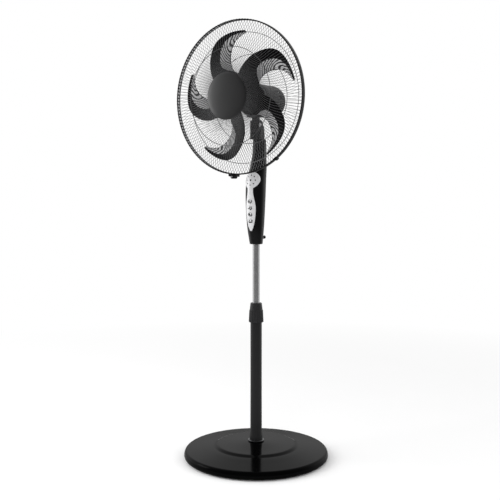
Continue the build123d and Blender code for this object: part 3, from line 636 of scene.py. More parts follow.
def mesh_object(name: str, points: Iterable[Sequence[float]], faces: Iterable[Sequence[int]],
                smooth_angle: float = SHARP_ANGLE,
                values: Optional[dict[str, list[float]]] = None) -> bpy.types.Object:
    """Makes an object from points and faces, closed and facing outwards.

    Args:
        name: the piece's name.
        points: places in the row frame.
        faces: corner indices of each face.
        smooth_angle: edges sharper than this stay sharp.
        values: name of each attribute and its value at every point.

    Returns:
        The new object.
    """
    mesh = bpy.data.meshes.new(name)
    mesh.from_pydata([tuple(point) for point in points], [], [tuple(face) for face in faces])
    for label, numbers in (values or {}).items():
        mesh.attributes.new(label, "FLOAT", "POINT").data.foreach_set("value", numbers)
    outward(mesh)
    soften_shading(mesh, smooth_angle)
    return new_object(name, mesh)


def grid(rows: int, columns: int) -> list[Face]:
    """Faces of a grid whose points run row after row."""
    line = columns + 1
    return [(corner, corner + 1, corner + line + 1, corner + line)
            for row in range(rows) for corner in range(row * line, row * line + columns)]


def doubled(faces: Sequence[Face], layer: int) -> list[Face]:
    """Faces of two sheets that look away from each other.

    Args:
        faces: faces of the first sheet.
        layer: count of points in a sheet.

    Returns:
        The faces of both.
    """
    return [side for face in faces
            for side in (face, tuple(index + layer for index in reversed(face)))]


def turned(profile: Sequence[Spot], segments: int) -> tuple[list[Vector], list[Face]]:
    """Turns a closed profile about the Z axis.

    Args:
        profile: points of (radius, height).
        segments: count of steps round the axis.

    Returns:
        The points and the faces.
    """
    points, faces = [], []
    count = len(profile)
    for step in range(segments):
        angle = math.tau * step / segments
        across, ahead = math.cos(angle), math.sin(angle)
        points += [Vector((radius * across, radius * ahead, height)) for radius, height in profile]
        here, after = step * count, (step + 1) % segments * count
        for corner in range(count):
            following = (corner + 1) % count
            faces.append((here + corner, after + corner, after + following, here + following))
    return points, faces


def lathe(name: str, profile: Sequence[Spot], place: Matrix = Matrix(), segments: int = 96,
          smooth_angle: float = SHARP_ANGLE) -> bpy.types.Object:
    """Turned piece about the local Z axis.

    Args:
        name: the piece's name.
        profile: closed profile of (radius, height).
        place: where the local frame stands in the row frame.
        segments: count of steps round the axis.
        smooth_angle: edges sharper than this stay sharp.

    Returns:
        The new object.
    """
    points, faces = turned(profile, segments)
    return mesh_object(name, [place @ point for point in points], faces, smooth_angle)


def baked(made: bpy.types.Object) -> bpy.types.Object:
    """Replaces an object's mesh by its evaluated one and drops its modifiers.

    Args:
        made: the object.

    Returns:
        The object.
    """
    graph = bpy.context.evaluated_depsgraph_get()
    mesh = bpy.data.meshes.new_from_object(made.evaluated_get(graph), depsgraph=graph)
    made.modifiers.clear()
    made.data = mesh
    return made


def joined(first: bpy.types.Object, *others: bpy.types.Object) -> bpy.types.Object:
    """Joins pieces that overlap into the first one's mesh.

    Args:
        first: the piece that stays.
        others: pieces that go into it.

    Returns:
        The first piece.
    """
    work = bmesh.new()
    for made in (first, *others):
        work.from_mesh(made.data)
    work.to_mesh(first.data)
    work.free()
    for made in others:
        bpy.data.objects.remove(made)
    soften_shading(first.data)
    return first


def carve(made: bpy.types.Object, cutters: Sequence[bpy.types.Object]) -> bpy.types.Object:
    """Cuts other objects out of a piece and removes them.

    Args:
        made: the piece.
        cutters: what is cut out of it.

    Returns:
        The piece.
    """
    for cutter in cutters:
        modifier = made.modifiers.new("cut", "BOOLEAN")
        modifier.operation = "DIFFERENCE"
        modifier.solver = "EXACT"
        modifier.object = cutter
    baked(made)
    for cutter in cutters:
        bpy.data.objects.remove(cutter)
    soften_shading(made.data)
    return made


def edged(made: bpy.types.Object, width: float, segments: int = 2,
          limit: float = math.radians(38)) -> bpy.types.Object:
    """Rounds a piece's sharp edges.

    Args:
        made: the piece.
        width: width of the rounding.
        segments: count of steps round an edge.
        limit: edges sharper than this are rounded.

    Returns:
        The piece.
    """
    modifier = made.modifiers.new("edges", "BEVEL")
    modifier.width = width
    modifier.segments = segments
    modifier.limit_method = "ANGLE"
    modifier.angle_limit = limit
    modifier.harden_normals = False
    baked(made)
    soften_shading(made.data)
    return made


def softened(node: str, name: str, width: float) -> bpy.types.Object:
    """Copy of a CAD node with its flat faces joined and its sharp edges rounded.

    Args:
        node: the CAD node.
        name: the copy's name.
        width: width of the rounding.

    Returns:
        The copy.
    """
    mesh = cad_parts[node].data.copy()
    mesh.name = name
    work = bmesh.new()
    work.from_mesh(mesh)
    bmesh.ops.remove_doubles(work, verts=work.verts, dist=2e-6)
    bmesh.ops.dissolve_limit(work, angle_limit=math.radians(1.0), verts=work.verts,
                             edges=work.edges)
    work.to_mesh(mesh)
    work.free()
    mesh.materials.clear()
    return edged(new_object(name, mesh), width)


def dress(made: bpy.types.Object, body: str, finish: str,
          stands_for: Sequence[str] = ()) -> bpy.types.Object:
    """Gives a finished piece its material and its body, and hides the CAD nodes that it replaces.

    Args:
        made: the piece.
        body: the CAD body that it rides on.
        finish: name of its finish.
        stands_for: CAD nodes that it replaces.

    Returns:
        The piece.
    """
    made.data.materials.clear()
    made.data.materials.append(Finishes.get(finish))
    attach(made, body)
    if stands_for:
        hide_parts(*stands_for)
    LOG.info("%s rides on %s, %d faces", made.name, body, len(made.data.polygons))
    return made


def head_frame() -> Matrix:
    """Frame of the fan head: local Z is forwards, local Y is up, on the guard's middle.

    Returns:
        Its matrix in the row frame.
    """
    low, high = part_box("guard_band")
    centre = Vector(((low[0] + high[0]) / 2, (low[1] + high[1]) / 2, (low[2] + high[2]) / 2))
    turn = Matrix(((1, 0, 0, 0), (0, 0, -1, 0), (0, 1, 0, 0), (0, 0, 0, 1)))
    return Matrix.Translation(centre) @ turn


# ---------------------------------------------------------------- studio
@dataclass(frozen=True)
class Lamp:
    """Square soft lamp that faces the middle of the fan, shown by gloss where mirrored."""

    name: str
    place: Point
    size: float
    power: float
    mirrored: bool = False
    aim: Point = (0.0, 0.0, 0.75)

    def build(self) -> None:
        """Makes the lamp."""
        data = bpy.data.lights.new(self.name, "AREA")
        data.shape = "SQUARE"
        data.size = self.size
        data.energy = self.power
        lamp = bpy.data.objects.new(self.name, data)
        lamp.location = self.place
        lamp.visible_glossy = self.mirrored
        aim = Vector(self.aim) - Vector(self.place)
        lamp.rotation_euler = aim.to_track_quat("-Z", "Y").to_euler()
        bpy.context.scene.collection.objects.link(lamp)


@dataclass
class Studio:
    """Camera, floor and soft light."""

    distance: float = 2.505
    aside: float = 0.0183
    height: float = 0.832
    swing: float = math.radians(34.5)
    pitch: float = math.radians(4.7)
    lens: float = 61.2
    sensor: float = 36.0
    floor_radius: float = 60.0
    floor_dark: Colour = (0.93, 0.93, 0.93)
    floor_light: Colour = (0.95, 0.95, 0.95)
    floor_grain: float = 3.0
    floor_gloss: float = 0.45
    fade_start: float = 0.9
    fade_width: float = 1.6
    sky: float = 0.78
    backdrop: float = 1.0
    dim: float = 0.12
    dim_from: float = 0.66
    dim_width: float = 0.92
    low_slope: float = 2.0
    low_level: float = 0.15
    low_from: float = 0.6
    low_width: float = 0.3
    lamps: tuple[Lamp, ...] = (
        Lamp("key_lamp", (-2.3, -2.2, 2.5), 2.2, 62.0),
        Lamp("rim_lamp", (2.6, 0.9, 2.0), 1.2, 14.0),
        Lamp("front_lamp", (1.6, -3.4, 1.6), 1.4, 18.0),
        Lamp("side_lamp", (-2.6, -1.6, 1.25), 1.2, 8.5, mirrored=True),
    )

    def build(self) -> None:
        """Makes the camera, the world, the floor and the lamps."""
        self.camera()
        self.world()
        self.floor()
        for lamp in self.lamps:
            lamp.build()
        bpy.context.scene.view_settings.view_transform = "Standard"

    def camera(self) -> None:
        """Makes the camera in front and to the side of the fan."""
        data = bpy.data.cameras.new("camera")
        data.lens = self.lens
        data.sensor_width = self.sensor
        camera = bpy.data.objects.new("camera", data)
        ahead = Vector((-math.sin(self.swing), math.cos(self.swing), 0.0))
        right = Vector((math.cos(self.swing), math.sin(self.swing), 0.0))
        camera.location = -ahead * self.distance - right * self.aside + Vector((0, 0, self.height))
        camera.rotation_euler = (math.pi / 2 - self.pitch, 0.0, self.swing)
        bpy.context.scene.collection.objects.link(camera)
        bpy.context.scene.camera = camera

    def rays(self, graph: Graph) -> tuple[Socket, Socket]:
        """What kind of ray meets a surface.

        Args:
            graph: the graph to work in.

        Returns:
            1 where the ray comes from the camera or through glass, and 1 where it comes off gloss.
        """
        path = graph.node("LightPath")
        camera, glossy, glass = (graph.value(path.outputs[name]) for name in
                                 ("Is Camera Ray", "Is Glossy Ray", "Is Transmission Ray"))
        return (camera + glass).clamped(), glossy

    def gleam(self, graph: Graph, spot: bpy.types.NodeSocket) -> Socket:
        """Brightness that gloss meets, dim in front of the fan and low down behind it.

        Args:
            graph: the graph to work in.
            spot: the direction or the place that the gloss looks at.

        Returns:
            The brightness.
        """
        reach = graph.node("VectorMath", {"operation": "NORMALIZE"}, {0: spot}).outputs[0]
        front = (math.sin(self.swing), -math.cos(self.swing), 0.0)
        ahead = graph.value(graph.node("VectorMath", {"operation": "DOT_PRODUCT"},
                                       {0: reach, 1: front}).outputs["Value"])
        up = graph.value(graph.node("SeparateXYZ", None, {0: reach}).outputs["Z"])
        open_share = ((self.dim_from - ahead) / self.dim_width).clamped()
        low = 1 - (up * self.low_slope + self.low_level).clamped()
        behind = ((-self.low_from - ahead) / self.low_width).clamped()
        bright = open_share * open_share * (self.backdrop - self.dim) + self.dim
        return bright * (1 - behind * low)

    def world(self) -> None:
        """Even studio light, white behind the fan and dimmer in gloss."""
        world = bpy.data.worlds.new("studio")
        graph = shader_graph(world)
        direct, glossy = self.rays(graph)
        gleam = self.gleam(graph, graph.node("TexCoord").outputs["Generated"])
        strength = direct * (self.backdrop - self.sky) + glossy * (gleam - self.sky) + self.sky
        light = graph.node("Background", None, {"Color": (1.0, 1.0, 1.0, 1.0),
                                                "Strength": strength})
        graph.node("OutputWorld", None, {"Surface": light.outputs[0]})
        bpy.context.scene.world = world

    def floor(self) -> None:
        """Pale floor that melts into the backdrop away from the fan."""
        size = self.floor_radius
        floor = mesh_object("floor", [(-size, -size, 0), (size, -size, 0), (size, size, 0),
                                      (-size, size, 0)], [(0, 1, 2, 3)])
        material = bpy.data.materials.new("pale_floor")
        graph = shader_graph(material)
        place = graph.node("TexCoord").outputs["Object"]
        reach = graph.value(graph.node("VectorMath", {"operation": "LENGTH"},
                                       {0: place}).outputs["Value"])
        grain = graph.node("TexNoise", None, {"Vector": place, "Scale": self.floor_grain})
        tint = graph.tone(grain.outputs[0], self.floor_dark, self.floor_light)
        direct, glossy = self.rays(graph)
        shade = graph.tone(glossy, tint, (self.floor_gloss,) * 3)
        matte = graph.node("BsdfDiffuse", None, {"Color": shade})
        glow = graph.node("Emission", None, {
            "Strength": glossy * (self.gleam(graph, place) - self.backdrop) + self.backdrop})
        fade = (((reach - self.fade_start) / self.fade_width).clamped()
                * (direct + glossy).clamped())
        both = graph.node("MixShader", None, {0: fade, 1: matte.outputs[0], 2: glow.outputs[0]})
        graph.node("OutputMaterial", None, {"Surface": both.outputs[0]})
        floor.data.materials.append(material)


# ---------------------------------------------------------------- geometry nodes
class PatternTree:
    """A Geometry Nodes tree with named inputs, run once on an empty object."""

    def __init__(self, name: str) -> None:
        """Makes the tree and its output.

        Args:
            name: the tree's name.
        """
        self.tree = bpy.data.node_groups.new(name, "GeometryNodeTree")
        self.tree.interface.new_socket("Geometry", in_out="OUTPUT",
                                       socket_type="NodeSocketGeometry")
        self.graph = Graph(self.tree, "GeometryNode", "ShaderNodeMath")
        self.values: dict[str, Union[int, float]] = {}

    def ask(self, **sizes: Union[int, float]) -> dict[str, Socket]:
        """Adds named inputs with their values.

        Args:
            sizes: name and value of each input.

        Returns:
            The inputs as sockets for expressions.
        """
        for name, value in sizes.items():
            kind = "NodeSocketInt" if isinstance(value, int) else "NodeSocketFloat"
            self.tree.interface.new_socket(name, in_out="INPUT", socket_type=kind)
            self.values[name] = value
        inputs = self.graph.node("NodeGroupInput")
        return {name: self.graph.value(inputs.outputs[name]) for name in sizes}

    def xyz(self, x: Value, y: Value, z: Value) -> bpy.types.NodeSocket:
        """Vector from three values."""
        return self.graph.node("ShaderNodeCombineXYZ", None, {0: x, 1: y, 2: z}).outputs[0]

    def swept(self, path: bpy.types.NodeSocket, section: bpy.types.NodeSocket,
              capped: bool = True) -> bpy.types.NodeSocket:
        """Rod along a path.

        Args:
            path: the curve that it follows.
            section: the curve of its cross-section.
            capped: whether its ends are closed.

        Returns:
            The rod's geometry.
        """
        rod = self.graph.node("CurveToMesh", None, {
            "Curve": path, "Profile Curve": section, "Fill Caps": capped})
        return rod.outputs[0]

    def around(self, piece: bpy.types.NodeSocket, count: Value) -> bpy.types.NodeSocket:
        """Copies of a piece evenly round the Z axis.

        Args:
            piece: geometry of one of them.
            count: how many there are.

        Returns:
            The copies.
        """
        points = self.graph.node("Points", None, {"Count": count})
        step = self.graph.value(self.graph.node("InputIndex").outputs[0])
        turn = self.xyz(0.0, 0.0, step * math.tau / count)
        copies = self.graph.node("InstanceOnPoints", None, {
            "Points": points.outputs[0], "Instance": piece})
        placed = self.graph.node("RotateInstances", None,
                                 {"Instances": copies.outputs[0], "Rotation": turn})
        return placed.outputs[0]

    def finish(self, pieces: Sequence[bpy.types.NodeSocket], material: str, name: str,
               place: Matrix = Matrix()) -> bpy.types.Object:
        """Joins the pieces, sets their material and turns the result into a plain mesh.

        Args:
            pieces: geometry sockets to join.
            material: name of the finish.
            name: the new object's name.
            place: where the local frame stands in the row frame.

        Returns:
            The new object, with its place in its mesh.
        """
        join = self.graph.node("JoinGeometry")
        for piece in reversed(pieces):
            self.tree.links.new(piece, join.inputs[0])
        real = self.graph.node("RealizeInstances", None, {0: join.outputs[0]})
        shade = self.graph.node("SetShadeSmooth", None, {0: real.outputs[0]})
        paint = self.graph.node("SetMaterial", None, {"Geometry": shade.outputs[0],
                                                      "Material": Finishes.get(material)})
        self.graph.node("NodeGroupOutput", None, {0: paint.outputs[0]})
        holder = new_object(name, bpy.data.meshes.new(name))
        modifier = holder.modifiers.new("pattern", "NODES")
        modifier.node_group = self.tree
        for item in self.tree.interface.items_tree:
            if item.in_out == "INPUT":
                modifier[item.identifier] = self.values[item.name]
        baked(holder)
        holder.data.transform(place)
        outward(holder.data, merge=1e-7)
        holder.data.name = name
        return holder


@dataclass
class RingOfRibs:
    """Upright ribs round a turned piece, half sunk into it."""

    count: int
    radius: float
    depth: float
    width: float
    low: float
    high: float
    high_radius: float
    fillet: float = 0.3

    def build(self, name: str, finish: str, place: Matrix = Matrix()) -> bpy.types.Object:
        """Makes the ribs.

        Args:
            name: the new object's name.
            finish: name of the finish.
            place: where the turned piece's frame stands.

        Returns:
            The ribs as one object.
        """
        tree = PatternTree(name)
        size = tree.ask(Count=self.count, Radius=self.radius, Depth=self.depth, Width=self.width,
                        Low=self.low, High=self.high, High_Radius=self.high_radius)
        bar = tree.graph.node("CurvePrimitiveLine", None, {
            "Start": tree.xyz(size["Radius"], 0.0, size["Low"]),
            "End": tree.xyz(size["High_Radius"], 0.0, size["High"])})
        outline = tree.graph.node("CurvePrimitiveQuadrilateral", None, {
            "Width": size["Depth"], "Height": size["Width"]})
        soft = tree.graph.node("FilletCurve", None, {
            "Curve": outline.outputs[0], "Radius": size["Depth"] * self.fillet})
        rib = tree.swept(bar.outputs[0], soft.outputs[0])
        return tree.finish([tree.around(rib, size["Count"])], finish, name, place)


# ---------------------------------------------------------------- base and pole
@dataclass
class Base:
    """Round base with a rolled rim, a soft step and the trim ring at the pole's foot.

    The rim's line starts at an angle in degrees, and the dish is points of (radius, height).
    """

    radius: float = 0.2162
    bottom: float = 0.0025
    rim_middle: float = 0.0115
    rim_top: float = 0.027
    rim_roll: float = 0.009
    rim_start: float = -62.0
    rim_steps: int = 16
    dish: tuple[Spot, ...] = ((0.190, 0.0293), (0.170, 0.0322), (0.150, 0.0349),
                              (0.1336, 0.0376))
    step_radius: float = 0.121
    step_half: float = 0.0084
    step_low: float = 0.038
    step_rise: float = 0.0055
    crest: float = 0.0505
    crest_power: float = 1.25
    hole: float = 0.0225
    wall: float = 0.0025
    steps: int = 8
    ring_inner: float = 0.0191
    ring_outer: float = 0.0242
    ring_height: float = 0.005
    ring_round: float = 0.0019

    def upper_line(self, inset: float) -> list[Spot]:
        """Line of the cover from its lower edge over the rim to the pole.

        Args:
            inset: how far the line is moved inwards.

        Returns:
            Points of (radius, height).
        """
        line = []
        for step in range(self.rim_steps + 1):
            angle = math.radians(self.rim_start + (90 - self.rim_start) * step / self.rim_steps)
            half = (self.rim_top - inset - self.rim_middle if angle > 0
                    else self.rim_middle - self.bottom)
            line.append((self.radius - self.rim_roll + (self.rim_roll - inset) * math.cos(angle),
                         self.rim_middle + half * math.sin(angle)))
        line += [(radius, height - inset) for radius, height in self.dish]
        shares = [step / self.steps for step in range(self.steps + 1)]
        foot, shoulder = self.step_radius + self.step_half, self.step_radius - self.step_half
        line += [(foot + (shoulder - foot) * share,
                  self.step_low + self.step_rise * eased(share) - inset) for share in shares]
        top = self.step_low + self.step_rise
        line += [(shoulder + (self.hole - shoulder) * share,
                  top + (self.crest - top) * share ** self.crest_power - inset)
                 for share in shares[1:]]
        return line

    def build(self) -> None:
        """Makes the cover and the trim ring."""
        outer = self.upper_line(0.0)
        inner = self.upper_line(self.wall)
        cover = lathe("base_cover_smooth", outer + inner[::-1], segments=180,
                      smooth_angle=math.radians(60))
        dress(cover, "stand", "base_black", ["base_cover"])
        corners = ring_line(self.ring_inner, self.ring_outer, self.crest,
                            self.crest + self.ring_height)
        ring = lathe("foot_ring_smooth", rounded(corners, self.ring_round))
        dress(ring, "stand", "smoked_chrome", ["foot_ring"])


@dataclass
class Pole:
    """Outer pole, its ribbed collar nut and the bright inner tube."""

    radius: float = 0.0170
    wall: float = 0.0014
    foot_radius: float = 0.0195
    shin_radius: float = 0.0175
    shin: float = 0.030
    shin_steps: int = 12
    foot_low: float = 0.0165
    foot_top: float = 0.0575
    flare: float = 0.152
    top: float = 0.431
    tube_radius: float = 0.0104
    tube_wall: float = 0.001
    segments: int = 72
    collar_low: float = 0.411
    collar_waist: float = 0.447
    collar_top: float = 0.4686
    collar_radius: float = 0.0210
    collar_waist_radius: float = 0.0193
    collar_top_radius: float = 0.0168
    collar_round: float = 0.0012
    collar_lip: float = 0.003
    collar_seat: float = 0.012
    pole_gap: float = 0.0003
    tube_gap: float = 0.0004
    rib_count: int = 20
    rib_height: float = 0.0014
    rib_width: float = 0.0022
    rib_start: float = 0.0012

    def build(self) -> None:
        """Makes the pole, the tube and the collar."""
        outer = [(self.foot_radius, self.foot_low), (self.foot_radius, self.foot_top)]
        for step in range(1, self.shin_steps + 1):
            share = step / self.shin_steps
            outer.append((self.foot_radius + (self.shin_radius - self.foot_radius) * eased(share),
                          self.foot_top + self.shin * share))
        outer += [(self.radius, self.foot_top + self.flare), (self.radius, self.top)]
        inner = [(radius - self.wall, height) for radius, height in reversed(outer)]
        pole = lathe("outer_pole_smooth", outer + inner, segments=self.segments)
        dress(pole, "stand", "pole_grey", ["outer_pole"])
        low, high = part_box("inner_tube")
        wall = ring_line(self.tube_radius - self.tube_wall, self.tube_radius, low[2], high[2])
        tube = lathe("inner_tube_smooth", wall, segments=self.segments)
        dress(tube, "column", "tube_steel_and_sheen", ["inner_tube"])
        self.collar()

    def collar(self) -> None:
        """Makes the collar nut: a turned taper with moulded ribs round it."""
        wide, narrow = self.radius + self.pole_gap, self.tube_radius + self.tube_gap
        corners = [(wide, self.collar_low), (self.collar_radius, self.collar_low),
                   (self.collar_waist_radius, self.collar_waist),
                   (self.collar_top_radius, self.collar_top), (narrow, self.collar_top),
                   (narrow, self.collar_top - self.collar_lip),
                   (wide, self.collar_top - self.collar_seat)]
        body = lathe("collar_nut_smooth", rounded(corners, self.collar_round), segments=120)
        ribs = RingOfRibs(self.rib_count, self.collar_radius - SINK, self.rib_height * 2,
                          self.rib_width, self.collar_low + self.rib_start, self.collar_waist,
                          self.collar_waist_radius - SINK)
        both = joined(body, ribs.build("collar_ribs", "collar_grey"))
        dress(both, "collar", "collar_grey", ["collar_nut"])


# ---------------------------------------------------------------- control column
@dataclass
class Housing:
    """Glossy column that carries the controls, as two shells that meet in a plane.

    Its lean and its half sizes are read at the heights in rise, above its bottom.
    """

    bottom: float = 0.644
    height: float = 0.307
    wall: float = 0.0023
    seam: float = 0.00018
    edge: float = 0.0016
    bottom_lip: float = 0.0035
    top_lip: float = 0.0105
    row_count: int = 64
    columns: int = 48
    rise: tuple[float, ...] = (0.0, 0.053, 0.130, 0.188, 0.230, 0.268, 0.307)
    lean: tuple[float, ...] = (0.0, -0.003, -0.0035, 0.0005, 0.012, 0.0163, 0.017)
    half_width: tuple[float, ...] = (0.019, 0.025, 0.0294, 0.0289, 0.0242, 0.0204, 0.0194)
    half_depth: tuple[float, ...] = (0.019, 0.025, 0.0284, 0.0289, 0.0242, 0.0204, 0.0194)

    def read(self, values: Sequence[float], rise: float) -> float:
        """A size of the housing at a height above its bottom.

        Args:
            values: the size at each of the heights in rise.
            rise: the height.

        Returns:
            The size there, on a smooth line through the values.
        """
        index = 0
        while index < len(self.rise) - 2 and rise > self.rise[index + 1]:
            index += 1
        low, high = self.rise[index], self.rise[index + 1]
        before, after = max(index - 1, 0), min(index + 2, len(self.rise) - 1)
        step = high - low
        share = min(max((rise - low) / step, 0.0), 1.0)
        slope_low = (values[index + 1] - values[before]) / (high - self.rise[before]) * step
        slope_high = (values[after] - values[index]) / (self.rise[after] - low) * step
        return (values[index] * (2 * share ** 3 - 3 * share ** 2 + 1)
                + slope_low * (share ** 3 - 2 * share ** 2 + share)
                + values[index + 1] * (3 * share ** 2 - 2 * share ** 3)
                + slope_high * (share ** 3 - share ** 2))

    def section(self, rise: float) -> tuple[float, float, float]:
        """Centre, half width and half depth at a height above the bottom."""
        return (self.read(self.lean, rise), self.read(self.half_width, rise),
                self.read(self.half_depth, rise))

    def split(self, rise: float) -> float:
        """Y of the plane where the shells meet."""
        return self.lean[-1] * rise / self.height

    def front_y(self, x: float, rise: float, growth: float) -> float:
        """Y of the front surface at a place in the front view.

        Args:
            x: the place's X.
            rise: its height above the housing's bottom.
            growth: how far the surface is grown outwards.

        Returns:
            The Y.
        """
        centre, width, depth = self.section(rise)
        share = min(abs(x) / (width + growth), 0.999)
        return centre - (depth + growth) * math.sqrt(1 - share * share)

    def rows(self) -> list[Spot]:
        """Rows of a shell from the tube's hole up to the spigot's hole.

        Returns:
            Rise and inset of each row.
        """
        edge, top = self.edge, self.height
        corner = [(0.0, edge), (edge * 0.12, edge * 0.5), (edge * 0.5, edge * 0.12), (edge, 0.0)]
        middle = [(edge + (top - 2 * edge) * step / self.row_count, 0.0)
                  for step in range(1, self.row_count)]
        return ([(0.0, self.bottom_lip), *corner, *middle]
                + [(top - rise, inset) for rise, inset in reversed(corner)]
                + [(top, self.top_lip)])

    def shell(self, name: str, front: bool) -> bpy.types.Object:
        """One of the two shells.

        Args:
            name: the new object's name.
            front: True for the front shell.

        Returns:
            The shell, with its wall.
        """
        points = []
        rows = self.rows()
        for rise, inset in rows:
            centre, width, depth = self.section(rise)
            width, depth = width - inset, depth - inset
            gap = -self.seam if front else self.seam
            tilt = math.asin(min(max((self.split(rise) + gap - centre) / depth, -1.0), 1.0))
            start, end = (math.pi - tilt, math.tau + tilt) if front else (tilt, math.pi - tilt)
            for column in range(self.columns + 1):
                angle = start + (end - start) * column / self.columns
                points.append((width * math.cos(angle), centre + depth * math.sin(angle),
                               self.bottom + rise))
        made = mesh_object(name, points, grid(len(rows) - 1, self.columns))
        modifier = made.modifiers.new("wall", "SOLIDIFY")
        modifier.thickness = self.wall
        modifier.offset = -1.0
        modifier.use_even_offset = True
        baked(made)
        outward(made.data)
        soften_shading(made.data)
        return made


@dataclass
class Panel:
    """Silver keyhole panel that follows the housing's front: a round plate over a long lobe.

    A rise is a height above the housing's bottom. The rings of a button or a light give the
    scale of its outline and the depth under its crest, from its middle outwards.
    """

    housing: Housing
    thick: float = 0.0015
    edge: float = 0.0006
    back: float = 0.0004
    rows: int = 120
    columns: int = 32
    plate_rise: float = 0.188
    plate_radius: float = 0.0245
    lobe_tip: float = 0.039
    lobe_wide: float = 0.108
    lobe_half: float = 0.0162
    tip_power: float = 1.9
    tip_blunt: float = 0.62
    blend_power: float = 9.0
    waist_rise: float = 0.159
    waist_half: float = 0.009
    button_low: float = 0.069
    button_pitch: float = 0.019
    button_width: float = 0.014
    button_height: float = 0.010
    button_gap: float = 0.0008
    button_proud: float = 0.0013
    button_rings: tuple[Spot, ...] = (
        (0.0, 0.0), (0.35, 0.0), (0.62, 0.00002), (0.82, 0.00012), (0.92, 0.0003),
        (0.98, 0.0006), (1.0, 0.0010), (1.0, 0.0045))
    cut_depth: float = 0.06
    sign_x: float = -0.0022
    sign_small: float = 0.0028
    sign_large: float = 0.0036
    sign_stroke: float = 0.0024
    sign_print: Spot = (0.00012, -0.00015)
    names: tuple[str, ...] = ("power", "speed", "timer", "swing")
    light_count: int = 8
    light_circle: float = 0.0145
    light_radius: float = 0.0019
    window_radius: float = 0.00285
    light_proud: float = 0.0005
    light_sides: int = 20
    light_rings: tuple[Spot, ...] = (
        (0.0, 0.0), (0.5, 0.00008), (0.85, 0.0003), (1.0, 0.0006), (1.0, 0.004))

    def half(self, rise: float) -> float:
        """Half width of the panel.

        Args:
            rise: height above the housing's bottom.

        Returns:
            The half width there.
        """
        down = rise - self.plate_rise
        plate = math.sqrt(max(self.plate_radius ** 2 - down ** 2, 0.0))
        if down > 0:
            return plate
        if rise <= self.lobe_wide:
            share = (self.lobe_wide - rise) / (self.lobe_wide - self.lobe_tip)
            lobe = self.lobe_half * max(1 - share ** self.tip_power, 0.0) ** self.tip_blunt
        else:
            share = min((rise - self.lobe_wide) / (self.waist_rise - self.lobe_wide), 1.0)
            lobe = self.lobe_half + (self.waist_half - self.lobe_half) * eased(share)
        return (plate ** self.blend_power + lobe ** self.blend_power) ** (1 / self.blend_power)

    def skin(self, x: float, rise: float, growth: float) -> Point:
        """Point over the housing's front at a height above its surface."""
        return (x, self.housing.front_y(x, rise, growth), self.housing.bottom + rise)

    def plate(self) -> bpy.types.Object:
        """Makes the panel with its openings.

        Returns:
            The panel.
        """
        low, high = self.lobe_tip + 1e-5, self.plate_rise + self.plate_radius - 1e-5
        rows, columns = self.rows, self.columns
        points = []
        for outer in (True, False):
            for row in range(rows + 1):
                rise = low + (high - low) * bunched(row, rows)
                reach = self.half(rise)
                for column in range(columns + 1):
                    x = reach * (2 * bunched(column, columns) - 1)
                    margin = min(reach - abs(x), rise - low, high - rise)
                    drop = self.edge * max(0.0, 1 - margin / self.edge) ** 2
                    points.append(self.skin(x, rise, self.thick - drop if outer else -self.back))
        line = columns + 1
        layer = (rows + 1) * line
        faces = doubled(grid(rows, columns), layer)
        border = [*range(columns), *range(columns, rows * line + columns, line),
                  *range(layer - 1, layer - 1 - columns, -1), *range(rows * line, 0, -line)]
        for index, corner in enumerate(border):
            after = border[(index + 1) % len(border)]
            faces.append((corner, corner + layer, after + layer, after))
        return carve(mesh_object("control_panel_smooth", points, faces), self.cutters())

    def cutters(self) -> list[bpy.types.Object]:
        """Cutters for the buttons' openings, through the panel and the shell behind it."""
        return [self.prism(self.slot_line(self.button_gap), self.button_rise(index))
                for index in range(len(self.names))]

    def button_rise(self, index: int) -> float:
        """Rise of a button's centre, the first one on top."""
        return self.button_low + self.button_pitch * (len(self.names) - 1 - index)

    def slot_line(self, margin: float) -> list[Spot]:
        """Outline of a button: a slot lying across the panel.

        Args:
            margin: how far the outline is moved outwards.

        Returns:
            Points of (x, z) round the button's centre.
        """
        radius = self.button_height / 2 + margin
        end = arc((self.button_width / 2 - self.button_height / 2, 0.0), (radius, radius),
                  -90, 90, 14)
        return [(side * x, side * z) for side in (1, -1) for x, z in end]

    def prism(self, line: Sequence[Spot], rise: float) -> bpy.types.Object:
        """Cutter along Y.

        Args:
            line: its outline in the front view.
            rise: height of its middle above the housing's bottom.

        Returns:
            The cutter.
        """
        count = len(line)
        level = self.housing.bottom + rise
        points = [(x, y, level + z) for y in (-self.cut_depth, 0.0) for x, z in line]
        faces = [tuple(range(count)), tuple(range(2 * count - 1, count - 1, -1))]
        faces += [(index, index + count, (index + 1) % count + count, (index + 1) % count)
                  for index in range(count)]
        return mesh_object("cutter", points, faces)

    def plug(self, name: str, middle: Spot, line: Sequence[Spot], proud: float,
             rings: Sequence[Spot]) -> bpy.types.Object:
        """Plug with a crowned face over the panel.

        Args:
            name: the new object's name.
            middle: X and rise of its middle.
            line: its outline round the middle.
            proud: height of its crest over the panel.
            rings: scale of the outline and depth under the crest, from the middle outwards.

        Returns:
            The plug.
        """
        x, rise = middle
        crest = self.thick + proud
        points = [self.skin(x, rise, crest)]
        for scale, sink in rings[1:]:
            points += [self.skin(x + side * scale, rise + up * scale, crest - sink)
                       for side, up in line]
        count = len(line)
        faces = [(0, 1 + step, 1 + (step + 1) % count) for step in range(count)]
        for ring in range(len(rings) - 2):
            for step in range(count):
                corner, after = 1 + ring * count + step, 1 + ring * count + (step + 1) % count
                faces.append((corner, corner + count, after + count, after))
        faces.append(tuple(range(len(points) - count, len(points))))
        return mesh_object(name, points, faces)

